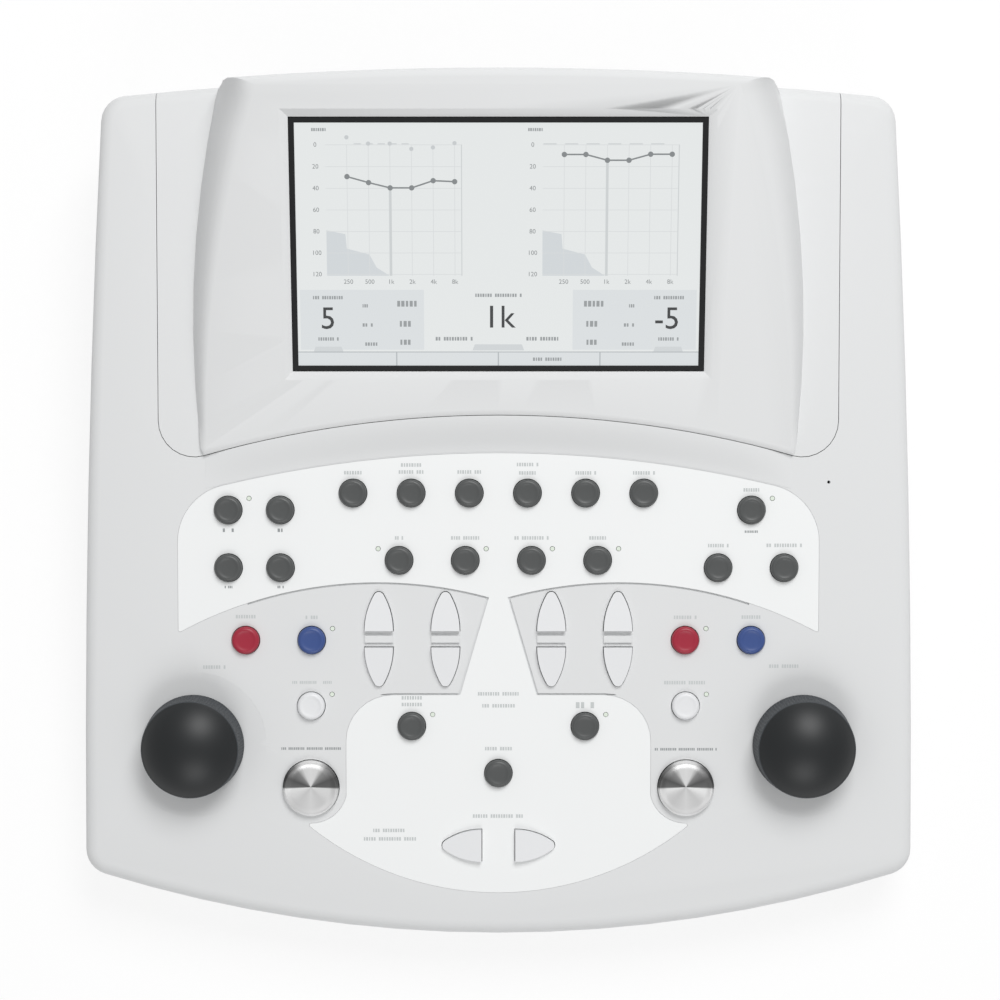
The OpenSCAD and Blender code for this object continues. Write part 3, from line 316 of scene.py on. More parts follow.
def join(links: bpy.types.NodeLinks, joins: Iterable[tuple]) -> None:
    """Links nodes.

    Args:
        links: the tree's links.
        joins: the node and output that each link leaves, and the node and input that it enters.
    """
    for source, out, target, into in joins:
        links.new(source.outputs[out], target.inputs[into])


def maths(nodes: bpy.types.Nodes, operation: str, second: float = 0.0) -> bpy.types.Node:
    """Adds a Math node.

    Args:
        nodes: the tree's nodes.
        operation: what it does.
        second: its second value, where nothing is linked to it.

    Returns:
        The node.
    """
    node = nodes.new("ShaderNodeMath")
    node.operation = operation
    node.inputs[1].default_value = second
    return node


@dataclass(frozen=True)
class SpunSteel:
    """Steel turned on a lathe, with a painted reflection: its base colour runs light and dark in
    wedges round the piece's centre.

    Attributes:
        name: the material's name.
        centre: the centre of the turning marks and of the painted reflection's wedges, in metres.
        metal: metallic share.
        rough: roughness.
        stretch: how far a highlight is drawn out along the marks.
    """

    name: str
    centre: Place
    metal: float = 0.6
    rough: float = 0.36
    stretch: float = 0.7

    def build(self) -> bpy.types.Material:
        """Makes the material.

        Returns:
            The material.
        """
        mat = bpy.data.materials.new(self.name)
        mat.use_nodes = True
        nodes, links = mat.node_tree.nodes, mat.node_tree.links
        shader = nodes["Principled BSDF"]
        shader.inputs["Metallic"].default_value = self.metal
        shader.inputs["Roughness"].default_value = self.rough
        shader.inputs["Anisotropic"].default_value = self.stretch
        coords = nodes.new("ShaderNodeTexCoord")
        shift = nodes.new("ShaderNodeVectorMath")
        shift.operation = "SUBTRACT"
        shift.inputs[1].default_value = self.centre
        split = nodes.new("ShaderNodeSeparateXYZ")
        angle = nodes.new("ShaderNodeMath")
        angle.operation = "ARCTAN2"
        turn = nodes.new("ShaderNodeMapRange")
        turn.inputs["From Min"].default_value = -math.pi
        turn.inputs["From Max"].default_value = math.pi
        # Painted reflection: the base colour's grey follows the direction round the centre, in place
        # of the sheen of the turning marks.
        sheen = nodes.new("ShaderNodeValToRGB")
        self.paint_reflection(sheen.color_ramp)
        join(links, (
            (coords, "Object", shift, 0), (shift, 0, split, 0), (split, "Y", angle, 0),
            (split, "X", angle, 1), (angle, 0, turn, "Value"), (turn, 0, sheen, "Fac"),
            (sheen, "Color", shader, "Base Color"),
        ))
        return mat

    @staticmethod
    def paint_reflection(ramp: bpy.types.ColorRamp) -> None:
        """Paints the reflection: sets the grey of each direction round the centre, lighter wedges as
        painted highlights and darker ones as painted reflected shade.

        Args:
            ramp: the ramp, read from the left side anticlockwise through front, right and back.
        """
        reflection_greys = ((0.0, 100), (0.012, 226), (0.14, 228), (0.25, 248), (0.36, 228), (0.488, 226),
                 (0.5, 100), (0.56, 88), (0.64, 150), (0.69, 244), (0.75, 254), (0.81, 244),
                 (0.86, 150), (0.94, 82), (1.0, 100))
        while len(ramp.elements) > 1:
            ramp.elements.remove(ramp.elements[-1])
        for i, (at, grey) in enumerate(reflection_greys):
            stop = ramp.elements[0] if i == 0 else ramp.elements.new(at)
            stop.position = at
            stop.color = (linear(grey), linear(grey), linear(grey), 1)


@dataclass(frozen=True)
class ClearSheet:
    """A clear sheet in front of the display: see-through, with a faint reflection.

    Attributes:
        name: the material's name.
        rough: roughness of its reflection.
        share: the reflection's share.
    """

    name: str = "clear_sheet"
    rough: float = 0.12
    share: float = 0.03

    def build(self) -> bpy.types.Material:
        """Makes the material.

        Returns:
            The material.
        """
        mat = bpy.data.materials.new(self.name)
        mat.use_nodes = True
        nodes, links = mat.node_tree.nodes, mat.node_tree.links
        nodes.remove(nodes["Principled BSDF"])
        clear = nodes.new("ShaderNodeBsdfTransparent")
        gloss = nodes.new("ShaderNodeBsdfGlossy")
        gloss.inputs["Roughness"].default_value = self.rough
        mix = nodes.new("ShaderNodeMixShader")
        mix.inputs["Fac"].default_value = self.share
        links.new(clear.outputs[0], mix.inputs[1])
        links.new(gloss.outputs[0], mix.inputs[2])
        links.new(mix.outputs[0], nodes["Material Output"].inputs["Surface"])
        return mat


HOUSING = Finish("housing_grey", (226, 227, 228), rough=0.55, grain=Grain.MOULDED, mottle=0.006)
OVERLAY = Finish("overlay_white", (243, 244, 244), rough=0.45, mottle=0.004)
FRAME_BLACK = Finish("frame_black", (14, 15, 17), rough=0.3)
RUBBER = Finish("key_dark", (66, 69, 68), rough=0.5, grain=Grain.RUBBER)
DIAL_TOP = Finish("dial_top", (24, 27, 29), rough=0.46)
DIAL_GRIP = Finish("dial_grip", (60, 64, 68), rough=0.6, grain=Grain.RUBBER, mottle=0.05)
RED = Finish("key_red", (160, 10, 40), rough=0.45, sheen=0.3)
BLUE = Finish("key_blue", (44, 64, 134), rough=0.45, sheen=0.3)
WHITE_KEY = Finish("key_white", (230, 232, 233), rough=0.45)
PRINT_GREY = Finish("print_grey", (196, 200, 200), rough=0.6)
PRINT_DARK = Finish("print_dark", (150, 154, 155), rough=0.6)
BOARD = Finish("board_green", (28, 92, 62), rough=0.4)
SILICONE = Finish("silicone", (200, 200, 196), rough=0.6)
SOCKET = Finish("socket_black", (34, 35, 37), rough=0.45)
PLATE = Finish("plate_grey", (74, 77, 81), rough=0.5)
PLATED = Finish("plated_steel", (190, 192, 195), rough=0.3, metal=1.0, grain=Grain.POLISHED)
FOOT = Finish("foot_rubber", (44, 45, 47), rough=0.8, grain=Grain.RUBBER)
LAMP = Finish("lamp_clear", (226, 230, 226), rough=0.2, grain=Grain.POLISHED)
PANEL_BACK = Finish("panel_back", (180, 183, 187), rough=0.35, metal=0.6, grain=Grain.POLISHED)


# ------------------------------ meshes


class Shape:
    """Collects flat and turned shapes in one mesh."""

    def __init__(self, name: str) -> None:
        """Starts an empty mesh of this name."""
        self.name = name
        self.bm = bmesh.new()

    def polygon(self, plane: Plane, points: Iterable[tuple[float, float]], lift: float) -> None:
        """Adds one flat face.

        Args:
            plane: the working plane.
            points: its corners on the plane, anticlockwise.
            lift: its height above the plane.
        """
        self.bm.faces.new([self.bm.verts.new(plane.point(x, y, lift)) for x, y in points])

    def bar(self, plane: Plane, x: float, y: float, size: tuple[float, float], lift: float,
            turn: float = 0.0) -> None:
        """Adds a rectangle about its middle.

        Args:
            plane: the working plane.
            x: the middle's distance to the right.
            y: the middle's distance up the plane.
            size: its width and height.
            lift: its height above the plane.
            turn: its turn on the plane, in degrees.
        """
        stretch = Matrix.Diagonal((size[0], size[1], 1, 1))
        bmesh.ops.create_grid(self.bm, x_segments=1, y_segments=1, size=0.5,
                              matrix=plane.matrix(x, y, lift, turn) @ stretch)

    def disc(self, plane: Plane, x: float, y: float, radius: float, lift: float) -> None:
        """Adds a small round mark.

        Args:
            plane: the working plane.
            x: the centre's distance to the right.
            y: the centre's distance up the plane.
            radius: its radius.
            lift: its height above the plane.
        """
        bmesh.ops.create_circle(self.bm, cap_ends=True, segments=MARK_CORNERS, radius=radius,
                                matrix=plane.matrix(x, y, lift))

    def line(self, plane: Plane, points: Sequence[tuple[float, float]], width: float,
             lift: float) -> None:
        """Adds a drawn line as one bar for each stretch.

        Args:
            plane: the working plane.
            points: the places that it joins.
            width: its width.
            lift: its height above the plane.
        """
        for (ax, ay), (bx, by) in zip(points, points[1:]):
            length = math.hypot(bx - ax, by - ay)
            turn = math.degrees(math.atan2(by - ay, bx - ax))
            self.bar(plane, (ax + bx) / 2, (ay + by) / 2, (length + width / 2, width), lift, turn)

    def word(self, plane: Plane, x: float, y: float, size: tuple[float, float], lift: float) -> None:
        """Adds a stand-in for a printed word: a row of small blocks with gaps between them.

        Args:
            plane: the working plane.
            x: the middle's distance to the right.
            y: the middle's distance up the plane.
            size: the word's width and height.
            lift: its height above the plane.
        """
        width, height = size
        count = max(1, round(width / (height * WORD_PITCH)))
        pitch = width / count
        for i in range(count):
            share = WORD_BLOCKS[(i + count) % len(WORD_BLOCKS)]
            left = x - width / 2 + i * pitch
            if share:
                self.bar(plane, left + pitch / 2, y, (pitch * share, height), lift)

    def number(self, plane: Plane, text: str, x: float, y: float, height: float, lift: float) -> None:
        """Adds a number, centred on a place.

        Args:
            plane: the working plane.
            text: its digits.
            x: the middle's distance to the right.
            y: the middle's distance up the plane.
            height: the height of its digits.
            lift: its height above the plane.
        """
        curve = bpy.data.curves.new("digits", "FONT")
        curve.body = text
        curve.size = height / DIGIT_SHARE
        curve.align_x = "CENTER"
        curve.align_y = "CENTER"
        curve.resolution_u = 3
        holder = bpy.data.objects.new("digits", curve)
        mesh = holder.to_mesh()
        mesh.transform(plane.matrix(x, y, lift))
        self.bm.from_mesh(mesh)
        holder.to_mesh_clear()
        bpy.data.objects.remove(holder)
        bpy.data.curves.remove(curve)

    def turned(self, profile: Sequence[tuple[float, float]], steps: int) -> list[bmesh.types.BMVert]:
        """Turns a profile that starts and ends on the Z axis into a closed body.

        Args:
            profile: radius and height of each corner, in millimetres.
            steps: faces round the axis.

        Returns:
            The body's corners.
        """
        verts = [self.bm.verts.new((r, 0, z)) for r, z in profile]
        edges = [self.bm.edges.new(pair) for pair in zip(verts, verts[1:])]
        bmesh.ops.spin(self.bm, geom=verts + edges, cent=(0, 0, 0), axis=(0, 0, 1),
                       angle=2 * math.pi, steps=steps, use_merge=True)
        bmesh.ops.remove_doubles(self.bm, verts=self.bm.verts, dist=0.0005)
        bmesh.ops.recalc_face_normals(self.bm, faces=self.bm.faces)
        return list(self.bm.verts)

    def place(self, plane: Plane, x: float, y: float) -> None:
        """Sets what has been drawn in millimetres about the Z axis on a place of a plane."""
        bmesh.ops.transform(self.bm, matrix=plane.matrix(x, y), verts=self.bm.verts)

    def finish(self, materials: Sequence[bpy.types.Material], body: str = ROOT_BODY,
               smooth: bool = False) -> bpy.types.Object:
        """Makes the object, dresses it and lets it ride on a body.

        Args:
            materials: its finishes, in the order of the faces' material numbers.
            body: the body that carries it.
            smooth: whether all but its sharp edges are shaded smooth.

        Returns:
            The object.
        """
        if smooth:
            for edge in self.bm.edges:
                edge.smooth = edge.calc_face_angle(0.0) < SHARP_ANGLE
            for face in self.bm.faces:
                face.smooth = True
        mesh = bpy.data.meshes.new(self.name)
        self.bm.to_mesh(mesh)
        self.bm.free()
        made = bpy.data.objects.new(self.name, mesh)
        bpy.context.scene.collection.objects.link(made)
        for material in materials:
            made.data.materials.append(material)
        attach(made, body)
        LOG.info("made %s", self.name)
        return made


def smooth_group() -> bpy.types.NodeTree:
    """Geometry nodes that join the loose triangles of a part and shade all but its sharp edges smooth.

    Returns:
        The node group.
    """
    name = "smooth_but_edges"
    old = bpy.data.node_groups.get(name)
    if old:
        return old
    group = bpy.data.node_groups.new(name, "GeometryNodeTree")
    group.interface.new_socket("Geometry", in_out="INPUT", socket_type="NodeSocketGeometry")
    group.interface.new_socket("Geometry", in_out="OUTPUT", socket_type="NodeSocketGeometry")
    nodes, links = group.nodes, group.links
    entry = nodes.new("NodeGroupInput")
    leave = nodes.new("NodeGroupOutput")
    merge = nodes.new("GeometryNodeMergeByDistance")
    merge.inputs["Distance"].default_value = SAME_PLACE
    shade = nodes.new("GeometryNodeSetShadeSmooth")
    shade.domain = "FACE"
    angle = nodes.new("GeometryNodeInputMeshEdgeAngle")
    sharp = nodes.new("FunctionNodeCompare")
    sharp.data_type = "FLOAT"
    sharp.operation = "GREATER_THAN"
    sharp.inputs[1].default_value = SHARP_ANGLE
    edges = nodes.new("GeometryNodeSetShadeSmooth")
    edges.domain = "EDGE"
    edges.inputs["Shade Smooth"].default_value = False
    join(links, (
        (entry, 0, merge, "Geometry"), (merge, 0, shade, "Geometry"),
        (shade, 0, edges, "Geometry"), (angle, "Unsigned Angle", sharp, 0),
        (sharp, 0, edges, "Selection"), (edges, 0, leave, 0),
    ))
    return group


def smooth_part(node: bpy.types.Object) -> None:
    """Gives a CAD part the smoothing modifier."""
    modifier = node.modifiers.new("smooth", "NODES")
    modifier.node_group = smooth_group()


# ------------------------------ sub-assemblies


@dataclass
class Assembly:
    """The parts that came from the frame.

    Attributes:
        nodes: the parts by name.
    """

    nodes: dict[str, bpy.types.Object]

    def dress(self, names: Iterable[str], material: bpy.types.Material) -> None:
        """Gives parts their finish and smooths them.

        Args:
            names: the parts' names.
            material: the finish.
        """
        for name in names:
            part = self.nodes[name]
            part.data.materials.clear()
            part.data.materials.append(material)
            smooth_part(part)
            LOG.info("dressed %s", name)

    def named(self, *starts: str) -> list[str]:
        """The names of the parts that begin with one of these."""
        return [n for n in sorted(self.nodes) if n.startswith(starts)]


@dataclass
class Case(Assembly):
    """The mouldings, the overlay, the feet, the screws and all that the case holds."""

    def build(self) -> None:
        """Dresses every part of the case."""
        self.dress(("bottom_housing", "top_housing", "display_hood"), HOUSING.build())
        self.dress(("control_overlay",), OVERLAY.build())
        self.dress(("feet",), FOOT.build())
        self.dress(("m3_screws", "usb_socket", "dial_encoders"), PLATED.build())
        self.dress(("main_board", "keypad_board"), BOARD.build())
        self.dress(("keymat",), SILICONE.build())
        self.dress(("connector_plate",), PLATE.build())
        black = ("jack_sockets", "power_inlet", "talkback_microphone", "power_rocker")
        self.dress(black, SOCKET.build())
        self.dress(("indicator_leds",), LAMP.build())


@dataclass
class Keys(Assembly):
    """The keys that travel.

    Attributes:
        dark_starts: how the names of the dark keys begin.
        white_starts: how the names of the white keys begin.
        steel: the names of the steel keys.
    """

    dark_starts: tuple[str, ...] = ("left_key", "top_key", "middle_key", "right_key", "centre_key")
    white_starts: tuple[str, ...] = ("level_", "frequency_", "left_white", "right_white")
    steel: tuple[str, ...] = ("left_interrupter", "right_interrupter")

    def build(self) -> None:
        """Dresses every key."""
        self.dress(self.named(*self.dark_starts), RUBBER.build())
        self.dress(self.named(*self.white_starts), WHITE_KEY.build())
        self.dress(("left_red_key", "right_red_key"), RED.build())
        self.dress(("left_blue_key", "right_blue_key"), BLUE.build())
        for name in self.steel:
            low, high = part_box(name)
            # Each steel key's base colour carries a painted reflection in wedges round its centre.
            steel = SpunSteel(f"{name}_steel", tuple((low + high) / 2))
            self.dress((name,), steel.build())


@dataclass
class Dial:
    """One large dial on its spindle: a fluted, slightly tapered grip under a strongly domed top.

    Attributes:
        node: the CAD part that it stands for, and the body that carries it.
        flutes: the number of flutes round the grip.
        flute_steps: faces round the axis for each flute.
        flute_depth: their depth.
        flute_margin: what the flutes leave plain above the deck and below the dome.
        foot_r: radius of the grip's foot.
        grip_r: radius where the grip ends.
        grip_low: height at which the grip starts to taper.
        edge: width of the rounding at the foot and below the dome.
        crown_r: radius where the dome starts.
        height: from the deck to the dome's crest.
        dome: rise of the dome.
        dome_steps: stretches of the dome's arc.
        low: height of the underside.
        cavity: radius and height of the hollow underneath.
        spindle: radius and lower end of the spindle.
    """

    node: str
    flutes: int = 96
    flute_steps: int = 4
    flute_depth: float = 0.4
    flute_margin: float = 1.0
    foot_r: float = 21.85
    grip_r: float = 20.9
    grip_low: float = 1.4
    edge: float = 0.7
    crown_r: float = 20.45
    height: float = 23.0
    dome: float = 9.0
    dome_steps: int = 16
    low: float = -0.2
    cavity: tuple[float, float] = (15.0, 6.0)
    spindle: tuple[float, float] = (3.0, -9.5)

    def build(self) -> None:
        """Makes the dial."""
        low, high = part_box(self.node)
        middle = (low + high) / 2
        shape = Shape(f"{self.node}_knob")
        corners = shape.turned(self.profile(), self.flutes * self.flute_steps)
        self.cut_flutes(corners)
        self.paint(shape.bm)
        shape.place(DECK, middle.x / MM, self.axis_y(low, high))
        finishes = [DIAL_GRIP.build(), DIAL_TOP.build()]
        made = shape.finish(finishes, self.node, smooth=True)
        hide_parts(self.node)

    def shoulder(self) -> float:
        """The height at which the dome starts."""
        return self.height - self.dome

    def axis_y(self, low: Vector, high: Vector) -> float:
        """The axis's place up the deck, from the CAD part's box.

        Args:
            low: the box's lowest corner.
            high: its highest corner; not used.

        Returns:
            The distance in millimetres.
        """
        front = low.y / MM - DECK.origin[1]
        rise = math.radians(DECK.tilt)
        return (front + self.foot_r * math.cos(rise) + self.low * math.sin(rise)) / math.cos(rise)

    def profile(self) -> list[tuple[float, float]]:
        """The outline that is turned round the axis.

        Returns:
            Radius and height of each corner, from the spindle's end to the dome's crest.
        """
        shoulder = self.shoulder()
        ball = (self.crown_r ** 2 + self.dome ** 2) / (2 * self.dome)
        turns = [math.asin(self.crown_r / ball) * i / self.dome_steps
                 for i in range(self.dome_steps, -1, -1)]
        dome = [(ball * math.sin(turn), self.height - ball * (1 - math.cos(turn))) for turn in turns]
        return [
            (0.0, self.spindle[1]), self.spindle, (self.spindle[0], self.cavity[1]), self.cavity,
            (self.cavity[0], self.low), (self.foot_r - self.edge, self.low),
            (self.foot_r, self.low + self.edge), (self.foot_r - 0.02, self.grip_low),
            (self.grip_r + 0.08, shoulder - 1.8), (self.grip_r, shoulder - self.edge),
            (self.grip_r - 0.12, shoulder - 0.25), *dome,
        ]

    def cut_flutes(self, corners: Iterable[bmesh.types.BMVert]) -> None:
        """Draws the grip in along each flute.

        Args:
            corners: the corners of the turned body, in millimetres about the Z axis.
        """
        low, high = self.flute_margin, self.shoulder() - self.flute_margin
        for corner in corners:
            reach = math.hypot(corner.co.x, corner.co.y)
            if reach > self.grip_r and low < corner.co.z < high:
                turn = math.atan2(corner.co.y, corner.co.x)
                depth = self.flute_depth * (0.5 - 0.5 * math.cos(self.flutes * turn))
                corner.co.xy *= (reach - depth) / reach

    def paint(self, bm: bmesh.types.BMesh) -> None:
        """Gives the dome's faces the second finish."""
        for face in bm.faces:
            face.material_index = int(face.calc_center_median().z > self.shoulder() - 0.1)


@dataclass
class Screen:
    """The picture on the display: two charts, a data zone and a row of soft keys.

    Places are in millimetres from the middle of the picture.

    Attributes:
        plane: the plane of the hood's face.
        half_w: half the picture's width.
        half_h: half its height.
        base: height of its ground over the plane.
        layer: rise from one layer to the next.
        chart_w: width of a chart.
        chart_h: height of a chart.
        chart_left: the left edge of each chart.
        chart_low: the charts' lower edge.
        first_level: from that edge up to the lowest line.
        level_step: from one level's line to the next.
        first_tone: from a chart's left edge to its first line.
        tone_step: from one tone's line to the next.
        levels: the numbers beside a chart, from the top down.
        tones: the numbers below a chart.
        cursor_tops: the upper end of each chart's cursor.
        left_curve: heights of the left curve's marks.
        right_curve: heights of the right curve's marks.
        faint_marks: heights of the faint marks over the left curve.
        dash_y: height of the dashes over the charts.
        key_y: height of the soft keys' middle.
        key_borders: the places of the lines between the soft keys.
        tabs: x, y and width of each tab over the soft keys.
        middle_words: x, y, width and height of each word of the middle and of the edges.
        side_words: the same for each word that both sides have.
    """

    plane: Plane
    half_w: float = 85.4
    half_h: float = 51.5
    base: float = -3.98
    layer: float = 0.015
    chart_w: float = 57.0
    chart_h: float = 55.0
    chart_left: tuple[float, float] = (-72.4, 18.6)
    chart_low: float = -13.0
    first_level: float = 0.6
    level_step: float = 9.05
    first_tone: float = 9.0
    tone_step: float = 9.02
    levels: tuple[str, ...] = ("0", "20", "40", "60", "80", "100", "120")
    tones: tuple[str, ...] = ("250", "500", "1k", "2k", "4k", "8k")
    cursor_tops: tuple[float, float] = (23.5, 35.0)
    left_curve: tuple[float, ...] = (28.7, 26.2, 24.0, 24.0, 27.0, 26.6)
    right_curve: tuple[float, ...] = (37.9, 37.9, 35.5, 35.5, 38.0, 38.0)
    faint_marks: tuple[float, ...] = (45.0, 42.4, 42.4, 40.2, 40.8, 42.6)
    dash_y: float = 42.3
    key_y: float = -48.6
    key_borders: tuple[float, ...] = (-43.3, 0.0, 43.3)
    tabs: tuple[Place, ...] = ((-72.3, -44.6, 13), (0, -43.6, 22), (72.3, -44.6, 13))
    middle_words: tuple[Mark, ...] = (
        (-75.0, 48.2, 6.4, 1.0), (15.5, 48.2, 6.4, 1.0), (0, -21.3, 20, 1.1),
        (-18.8, -39.9, 16, 1.2), (18.8, -39.9, 14, 1.2), (20.9, -48.7, 12.5, 1.1),
    )
    side_words: tuple[Mark, ...] = (
        (72.3, -22.3, 13, 1.1), (72.3, -40.0, 9, 1.1), (56.5, -25.8, 2.6, 1.1),
        (55.5, -34.0, 4.6, 1.1), (54.6, -42.2, 6.6, 1.1), (39.6, -24.9, 10.6, 1.9),
        (39.6, -33.5, 5.4, 1.9), (39.6, -41.4, 5.0, 1.7),
    )

    def ink(self, name: str, grey: Rgb) -> bpy.types.Material:
        """A lit colour of the picture."""
        return Finish(f"screen_{name}", grey, rough=0.3, glow=1.0).build()

    def lift(self, layer: int) -> float:
        """The height of one layer of the picture."""
        return self.base + self.layer * layer

    def level_y(self, i: int) -> float:
        """The height of a level's line, counted from below."""
        return self.chart_low + self.first_level + i * self.level_step

    def tone_x(self, left: float, i: int) -> float:
        """The place of a tone's line on the chart with this left edge."""
        return left + self.first_tone + i * self.tone_step

    def build(self) -> None:
        """Makes every layer of the picture."""
        ground = Shape("screen_ground")
        ground.bar(self.plane, 0, 0, (2 * self.half_w, 2 * self.half_h), self.lift(0))
        ground.finish([self.ink("ground", (227, 230, 230))])
        self.build_tints()
        self.build_grids()
        self.build_curves()
        self.build_text()

    def build_tints(self) -> None:
        """The pale zones, the shaded part of each chart and the tabs over the soft keys."""
        pale = Shape("screen_zones")
        for side in (-1, 1):
            pale.bar(self.plane, side * 57.8, -31.8, (52.5, 25.6), self.lift(1))
        pale.bar(self.plane, 0, self.key_y, (2 * self.half_w, 6.0), self.lift(1))
        pale.finish([self.ink("pale", (217, 221, 223))])
        shade = Shape("screen_shade")
        for left in self.chart_left:
            outline = ((0, self.chart_low), (26.5, self.chart_low), (21, -9.5), (18, -4),
                       (8.5, -1.5), (8, 4.6), (0, 6.2))
            shade.polygon(self.plane, [(left + x, y) for x, y in outline], self.lift(1))
        shade.finish([self.ink("shade", (207, 212, 215))])
        tabs = Shape("screen_tabs")
        for x, y, w in self.tabs:
            outline = ((x - w / 2, y - 1.3), (x + w / 2, y - 1.3),
                       (x + w / 2 - 1, y + 1.3), (x - w / 2 + 1, y + 1.3))
            tabs.polygon(self.plane, outline, self.lift(2))
        tabs.finish([self.ink("tab", (206, 210, 212))])

    def build_grids(self) -> None:
        """The charts' faint lines, their cursors and the soft keys' borders."""
        middle = self.chart_low + self.chart_h / 2
        grid = Shape("screen_grid")
        for left in self.chart_left:
            for i in range(len(self.levels)):
                place = (left + self.chart_w / 2, self.level_y(i))
                grid.bar(self.plane, *place, (self.chart_w, 0.25), self.lift(2))
            for i in range(len(self.tones)):
                grid.bar(self.plane, self.tone_x(left, i), middle, (0.25, self.chart_h), self.lift(2))
        grid.finish([self.ink("grid", (213, 216, 217))])
        cursor = Shape("screen_cursors")
        for left, top in zip(self.chart_left, self.cursor_tops):
            place = (self.tone_x(left, 2), (top + self.chart_low) / 2)
            cursor.bar(self.plane, *place, (1.1, top - self.chart_low), self.lift(3))
        for left in self.chart_left:
            cursor.bar(self.plane, left + self.chart_w, middle, (0.4, self.chart_h), self.lift(3))
        cursor.finish([self.ink("cursor", (202, 206, 207))])
        keys = Shape("screen_key_borders")
        for x in self.key_borders:
            keys.bar(self.plane, x, self.key_y, (0.5, 5.6), self.lift(3))
        keys.bar(self.plane, 0, self.key_y + 3, (2 * self.half_w, 0.4), self.lift(3))
        keys.finish([self.ink("border", (176, 181, 184))])

    def curve_points(self, left: float, heights: Sequence[float]) -> list[tuple[float, float]]:
        """The places of a curve's marks."""
        return [(self.tone_x(left, i), y) for i, y in enumerate(heights)]

    def build_curves(self) -> None:
        """The two measured curves with their marks, the faint marks and the dashes above them."""
        curves = Shape("screen_curves")
        for left, heights in zip(self.chart_left, (self.left_curve, self.right_curve)):
            points = self.curve_points(left, heights)
            curves.line(self.plane, points, 0.65, self.lift(4))
            for x, y in points:
                curves.disc(self.plane, x, y, 1.15, self.lift(5))
        curves.finish([self.ink("curve", (128, 132, 134))])
        faint = Shape("screen_faint_marks")
        for x, y in self.curve_points(self.chart_left[0], self.faint_marks):
            faint.disc(self.plane, x, y, 0.9, self.lift(4))
        for i in range(5):
            place = (self.chart_left[0] + 13.5 + i * 5, self.dash_y)
            faint.bar(self.plane, *place, (3.0, 0.35), self.lift(3))
        for i in range(6):
            place = (self.chart_left[1] + 3 + i * 9, self.dash_y)
            faint.bar(self.plane, *place, (5.5, 0.35), self.lift(3))
        faint.finish([self.ink("faint", (196, 200, 202))])

    def build_text(self) -> None:
        """The charts' numbers, the three large values and a row of blocks for each word."""
        numbers = Shape("screen_numbers")
        for left in self.chart_left:
            for i, level in enumerate(reversed(self.levels)):
                numbers.number(self.plane, level, left - 4.2, self.level_y(i), 1.9, self.lift(3))
            for i, tone in enumerate(self.tones):
                place = (self.tone_x(left, i), self.chart_low - 2.6)
                numbers.number(self.plane, tone, *place, 1.9, self.lift(3))
        numbers.finish([self.ink("numbers", (128, 132, 134))])
        values = Shape("screen_values")
        values.number(self.plane, "5", -72.3, -31.6, 9.4, self.lift(3))
        values.number(self.plane, "1k", 0.4, -31.0, 9.6, self.lift(3))
        values.number(self.plane, "-5", 71.6, -31.6, 9.4, self.lift(3))
        values.finish([self.ink("values", (52, 54, 56))])
        words = Shape("screen_words")
        for x, y, w, h in self.middle_words:
            words.word(self.plane, x, y, (w, h * WORD_HEIGHT), self.lift(3))
        for side in (-1, 1):
            for x, y, w, h in self.side_words:
                words.word(self.plane, side * x, y, (w, h * WORD_HEIGHT), self.lift(3))
        words.finish([self.ink("words", (150, 154, 156))])


@dataclass
class DisplayUnit(Assembly):
    """The black frame, the clear window and the panel with its picture."""

    def build(self) -> None:
        """Dresses the three parts and makes the picture."""
        self.dress(("display_frame",), FRAME_BLACK.build())
        self.dress(("display_window",), ClearSheet().build())
        self.dress(("display_panel",), PANEL_BACK.build())
        Screen(hood_face()).build()


@dataclass(frozen=True)
class Label:
    """A printed word beside a key, drawn as a row of small blocks.

    Attributes:
        up: its distance above the key's centre, along the deck.
        width: its width.
        right: its distance to the right of the key's centre.
        height: its height.
    """

    up: float
    width: float
    right: float = 0.0
    height: float = 1.5


